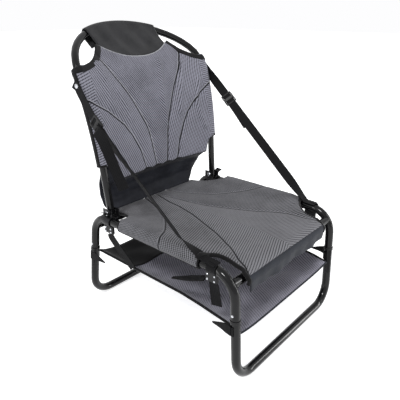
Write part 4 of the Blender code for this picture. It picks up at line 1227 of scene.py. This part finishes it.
def slingPlace(share, y):
    drop = alongTable(slingLook["depth"], y) * (1 - abs(share) ** 6)
    slack = min((y - slingLook["frontY"]) / slingLook["wavesFrom"], 1)
    wave = slingLook["waves"][0] * math.sin(y * 21 + share * 4) * (1 - share ** 4)
    wave += slingLook["waves"][1] * math.sin(y * 60 + share * 11) * (1 - share ** 2)
    return Vector((share * slingLook["half"], y, alongTable(slingLook["rim"], y) - drop + wave * slack))


def slingShares(columns):
    # Closer together towards the rim, where the cloth is steep
    return [math.sin(math.pi / 2 * share) for share in evenly(-1, 1, columns)]


def storageSling():
    rows, flat = [], []
    for y in evenly(slingLook["frontY"], slingLook["rearY"], slingLook["rows"]):
        row = [slingPlace(share, y) for share in slingShares(slingLook["columns"])]
        pattern, run = [], 0.0
        for before, place in zip(row[:1] + row, row):
            run += (place - before).length
            pattern.append((run - slingLook["flatHalf"], y))
        rows.append(row)
        flat.append(pattern)
    noSeam = [[-0.1] * len(rows[0])] * len(rows)
    piece = layCloth("storageSling", rows, flat, {"innerSeam": noSeam, "outerSeam": noSeam})
    giveThickness(piece, slingLook["thick"])
    return finishCloth(piece, "slingMesh", "frame", ["storage_sling"])


sling = storageSling()


def slingRearShadeSheet():
    # Black sheet over the rear fifth of the sling: painted shadow that the seat casts on it
    proud = Vector((0, 0, slingLook["shadeSheetProud"]))
    rows = [[slingPlace(share * slingLook["shadeSheetHalf"], y) + proud for share in slingShares(80)]
            for y in evenly(slingLook["shadeSheetFrom"], slingLook["rearY"] - slingLook["endsIn"], 16)]
    flat = [[(place.x, place.y) for place in row] for row in rows]
    piece = layCloth("slingRearShadeSheet", rows, flat)
    giveThickness(piece, slingLook["shadeSheetThick"])
    return finishCloth(piece, "binding", "frame")


# painted shadow of the seat, drawn as black cloth on the rear of the sling
rearShadeSheet = slingRearShadeSheet()


def slingTrims():
    made = []
    frontY, rearY, endsIn = slingLook["frontY"], slingLook["rearY"], slingLook["endsIn"]
    for sign, label in sides:
        edge = [slingPlace(sign, y) for y in evenly(frontY + endsIn, rearY - endsIn, 40)]
        made.append(bead(f"slingSideBinding_{label}", edge, slingLook["sideRadius"],
                         "binding", "frame"))
    for end, y in (("front", frontY), ("rear", rearY)):
        edge = [slingPlace(share, y) for share in slingShares(80)]
        made.append(bead(f"slingBinding_{end}", edge, slingLook["endRadius"],
                         "bandCloth", "frame"))
    return made


slingTrimPieces = slingTrims() + [rearShadeSheet]
print("storage sling made")


# Webbing
webbingLook = {
    "width": 0.025, "thick": 0.0016, "shares": (-1, -0.94, -0.5, 0, 0.5, 0.94, 1),
    "rivetLength": 0.322, "rivetOut": 0.0048, "railX": 0.214, "railZ": 0.277, "footY": -0.2097,
    "footUp": 0.0116,
    # share of the strap's length to the lock, and how much higher than the solid the lock is drawn
    "lockShare": 0.205, "lockLength": 0.07, "lockRise": 0.065, "leftHigher": 0.045,
    "lockFace": (-0.62, 0.505, -0.554),      # along the webbing's width at the right lock
    "pastRivet": 0.012, "upperPastLock": 0.020, "lowerPastLock": 0.016, "footLength": 0.030,
    # slack in metres, and the shares of the strap over which it sets in and runs out
    "slack": 0.026, "slackIn": 0.2, "slackOut": 0.15,
    # where along the right upper strap it turns, how near the foot a lower strap turns flat,
    # and the share of the left lower strap that stays on edge
    "turnFrom": 0.18, "turnOver": 0.5, "flatFrom": 0.085, "flatOver": 0.07, "onEdge": 0.35,
    # loose ends: off the lock, their first bend, and the points over which they turn
    "endOff": 0.003, "endBend": 0.03, "endTurn": 9,
    "leftFall": (0.06, -0.46, -0.9), "leftEnd": 0.115, "leftAside": (-0.010, -0.006, 0),
    "rightFall": (0, -0.02, -0.13), "rightEnd": 0.055,
}


def webbingStrip(name, points, halfVectors):
    # Flat woven strip along a row of points; each half vector reaches from its middle to its edge
    rows, flat, run = [], [], 0.0
    for index, (point, half) in enumerate(zip(points, halfVectors)):
        run += (point - points[index - 1]).length if index else 0.0
        rows.append([point + half * share for share in webbingLook["shares"]])
        flat.append([(half.length * share, run) for share in webbingLook["shares"]])
    piece = layCloth(name, rows, flat)
    giveThickness(piece, webbingLook["thick"])
    bpy.ops.object.shade_smooth_by_angle(angle=math.radians(50))
    piece.data.materials.clear()
    piece.data.materials.append(finishes["webbing"])
    return piece


def between(first, second, share, half):
    # A half vector turned part of the way from the first to the second
    return (first * (1 - share) + second * share).normalized() * half


def strapSlack(sign, along, point, start, foot):
    # The left strap hangs a little slack, below the straight line from its rivet to its foot
    if sign > 0:
        return Vector()
    share = (point - start).length / (foot - start).length
    sets = min(share / webbingLook["slackIn"], 1) ** 0.8
    runsOut = min(max((1 - share) / webbingLook["slackOut"], 0), 1)
    return Vector((0, -along.z, along.y)) * webbingLook["slack"] * sets * runsOut


def backStraps():
    look = webbingLook
    half = look["width"] / 2
    for sign, label in sides:
        left = sign < 0
        sideX = backHalf(look["rivetLength"]) + backrest["tubeRadius"] + look["rivetOut"] + look["thick"] / 2
        start = backPoint(sign * sideX, look["rivetLength"])
        footZ = look["railZ"] + look["footUp"] + look["thick"] / 2
        foot = Vector((sign * look["railX"], look["footY"], footZ))
        along = (foot - start).normalized()
        faceX, faceY, faceZ = look["lockFace"]
        wide = Vector((sign * faceX, faceY, faceZ))
        wide = (wide - along * wide.dot(along)).normalized()
        across = wide * half
        edge = Vector((0, -along.z, along.y)).normalized() * half
        if left:
            across = between(edge, across, 0.70, half)
        higher = look["leftHigher"] if left else 0.0
        lockShare = look["lockShare"] - higher
        lockLow = start + (foot - start) * lockShare
        lockHigh = start + (foot - start) * (lockShare + look["lockLength"])

        points, halves = [], []
        first, last = start - along * look["pastRivet"], lockLow + along * look["upperPastLock"]
        for share in evenly(0, 1, 24):
            point = first.lerp(last, share)
            points.append(point + strapSlack(sign, along, point, start, foot))
            twist = 0 if left else min(max((share - look["turnFrom"]) / look["turnOver"], 0), 1)
            halves.append(between(edge, across, twist, half))
        upper = webbingStrip(f"strapUpper_{label}", points, halves)
        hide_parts(f"strap_upper_{label}")

        points, halves = [], []
        level = Vector((-sign * half, 0, 0))
        first = lockHigh - along * look["lowerPastLock"]
        for share in evenly(0, 1, 40):
            point = first.lerp(foot, share)
            points.append(point + strapSlack(sign, along, point, start, foot))
            twist = min(max((look["flatFrom"] - (foot - point).length) / look["flatOver"], 0), 1)
            loose = max(1 - share / look["onEdge"], 0) if left else 0
            halves.append(between(between(across, edge, loose, half), level, twist, half))
        for share in evenly(0, 1, 6)[1:]:
            points.append(foot - Vector((0, look["footLength"] * share, look["thick"] * share ** 2)))
            halves.append(level)
        lower = webbingStrip(f"strapLower_{label}", points, halves)
        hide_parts(f"strap_lower_{label}")

        lock = smoothCopy(f"ladder_lock_{label}", f"ladderLock_{label}", "nylon", 30, 0.0009)
        middle = sum((v.co for v in lock.data.vertices), Vector()) / len(lock.data.vertices)
        hang = strapSlack(sign, along, lockHigh, start, foot)
        rise = along * -(look["lockRise"] + higher) * (foot - start).length
        turnLock = wide.rotation_difference(edge.normalized()).to_matrix() if left else Matrix.Identity(3)
        for vertex in lock.data.vertices:
            vertex.co = turnLock @ (vertex.co - middle) + middle + rise + hang

        # the right loose end lies along its strap, the left one hangs
        fall = (Vector(look["leftFall"]) if left else along + Vector(look["rightFall"])).normalized()
        reach = look["leftEnd"] if left else look["rightEnd"]
        top = lockHigh + along * 0.0003 + along.cross(across).normalized() * sign * look["endOff"] + hang
        out = top + (along + fall).normalized() * look["endBend"]
        line = smoothLine([top - along * 0.012, top, out, out + fall * reach * 0.5, out + fall * reach], 7)
        # both loose ends hang turned the same way, as the photograph shows them
        hung = Vector(look["lockFace"]) if left else across.copy()
        hung = (hung - fall * hung.dot(fall)).normalized() * half
        turnShares = [min(index / look["endTurn"], 1) for index in range(len(line))]
        turns = [between(across, hung, share, half) for share in turnShares]
        if left:
            aside = Vector(look["leftAside"])
            line = [point + aside * share for point, share in zip(line, turnShares)]
        tail = webbingStrip(f"strapTail_{label}", line, turns)
        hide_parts(f"strap_tail_{label}")
        for piece in (upper, lower, tail):
            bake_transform(piece, "frame", "backrest", start=tuple(foot), end=tuple(start))


backStraps()

railStrapLook = {
    "lowZ": 0.2407, "hangY": -0.2312, "hangTurn": (-0.66, 0.75, 0), "tailY": -0.2094,
    "tailHalf": (0.009, 0, 0.003),
    "sideY": 0.1203, "sideEnd": (0.206, 0.161), "wrapRound": 0.0124,
    "tabLine": ((0.2160, 0.1223, 0.2900), (0.2230, 0.1190, 0.3000), (0.2335, 0.1150, 0.3070)),
    "tabHalf": (0.002, 0.0105, 0),
}


def railStraps():
    look = railStrapLook
    half = webbingLook["width"] / 2
    low, hangY, tailY, sideY = look["lowZ"], look["hangY"], look["tailY"], look["sideY"]
    endX, endZ = look["sideEnd"]
    for sign, label in sides:
        x = sign * webbingLook["railX"]

        # the hanging end at the front plate, turned a little as it falls
        line = smoothLine([Vector((x, hangY, low)), Vector((x, hangY - 0.003, low - 0.018)),
                           Vector((x, hangY - 0.010, low - 0.055))], 8)
        turns = [between(Vector((0, 1, 0)), Vector(look["hangTurn"]), i / len(line) * 0.45, half)
                 for i in range(len(line))]
        hang = webbingStrip(f"frontWebbing_{label}", line, turns)
        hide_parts(f"front_webbing_{label}")

        # the end that points to the rear, cut to a point
        line = smoothLine([Vector((x, tailY, low + 0.002)),
                           Vector((x - sign * 0.002, tailY + 0.05, low - 0.020)),
                           Vector((x - sign * 0.004, tailY + 0.108, low - 0.044))], 10)
        narrow = [Vector(look["tailHalf"]) * (1 - 0.65 * max(0, share - 0.5) * 2)
                  for share in evenly(0, 1, len(line) - 1)]
        tail = webbingStrip(f"bracketTail_{label}", line, narrow)
        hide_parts(f"bracket_tail_{label}")

        # the side strap from the rear plate down to the sling
        line = smoothLine([Vector((x, sideY, low)), Vector((x, sideY - 0.014, low - 0.018)),
                           Vector((sign * endX, sideY - 0.075, endZ))], 10)
        turns = []
        for index in range(len(line)):
            run = line[min(index + 1, len(line) - 1)] - line[max(index - 1, 0)]
            turns.append(Vector((0, -run.z, run.y)).normalized() * half)
        drop = webbingStrip(f"sideStrap_{label}", line, turns)
        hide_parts(f"side_strap_{label}")

        ring = []
        for angle in evenly(92, -58, 14):
            turn = math.radians(angle)
            ring.append(Vector((x + sign * look["wrapRound"] * math.cos(turn), hangY,
                                webbingLook["railZ"] + look["wrapRound"] * math.sin(turn))))
        wrap = webbingStrip(f"railWrap_{label}", ring, [Vector((0, half, 0))] * len(ring))

        line = smoothLine([Vector((sign * tabX, tabY, tabZ)) for tabX, tabY, tabZ in look["tabLine"]], 6)
        tabX, tabY, tabZ = look["tabHalf"]
        tab = webbingStrip(f"hingeTab_{label}", line, [Vector((sign * tabX, tabY, tabZ))] * len(line))
        for piece in (hang, tail, drop, wrap, tab):
            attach(piece, "frame")


railStraps()

slingLoopLook = {
    # y of each leg at its foot and at its bend
    "legs": {"front": (-0.3007, -0.2867), "rear": (0.2183, 0.1763)},
    "footZ": 0.0108, "height": 0.150, "round": 0.01225, "half": 0.011,
    # loose end: x, inward and upward of the loop
    "endLine": ((0.2268, 0.004, 0.001), (0.2262, 0.026, 0.003), (0.2240, 0.056, -0.002)), "endHalf": 0.0118,
}


def slingLoops():
    # Webbing loop round each leg that holds a corner of the sling, with its loose end
    look = slingLoopLook
    tall, height = webbingLook["railZ"] - look["footZ"], look["height"]
    for end, (footY, bendY) in look["legs"].items():
        for sign, label in sides:
            y = footY + (bendY - footY) * (height - look["footZ"]) / tall
            lean = Vector((0, bendY - footY, tall)).normalized()
            depth = Vector((0, lean.z, -lean.y))
            ring = []
            for angle in evenly(-15, 195, 24):
                turn = math.radians(angle)
                out = Vector((math.cos(turn), 0, 0)) + depth * math.sin(turn)
                ring.append(Vector((sign * webbingLook["railX"], y, height)) + out * look["round"])
            loop = webbingStrip(f"slingLoop_{end}_{label}", ring, [lean * look["half"]] * len(ring))
            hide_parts(f"sling_strap_{end}_{label}")
            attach(loop, "frame")
            inward = 1 if end == "front" else -1
            line = smoothLine([Vector((sign * x, y + inward * along, height + up))
                               for x, along, up in look["endLine"]], 8)
            # the end is cut to a slant
            slant = [Vector((0, 0, look["endHalf"] * (1 - 0.85 * max(0, share - 0.35) / 0.65)))
                     for share in evenly(0, 1, len(line) - 1)]
            looseEnd = webbingStrip(f"slingLooseEnd_{end}_{label}", line, slant)
            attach(looseEnd, "frame")


slingLoops()
print("webbing made")
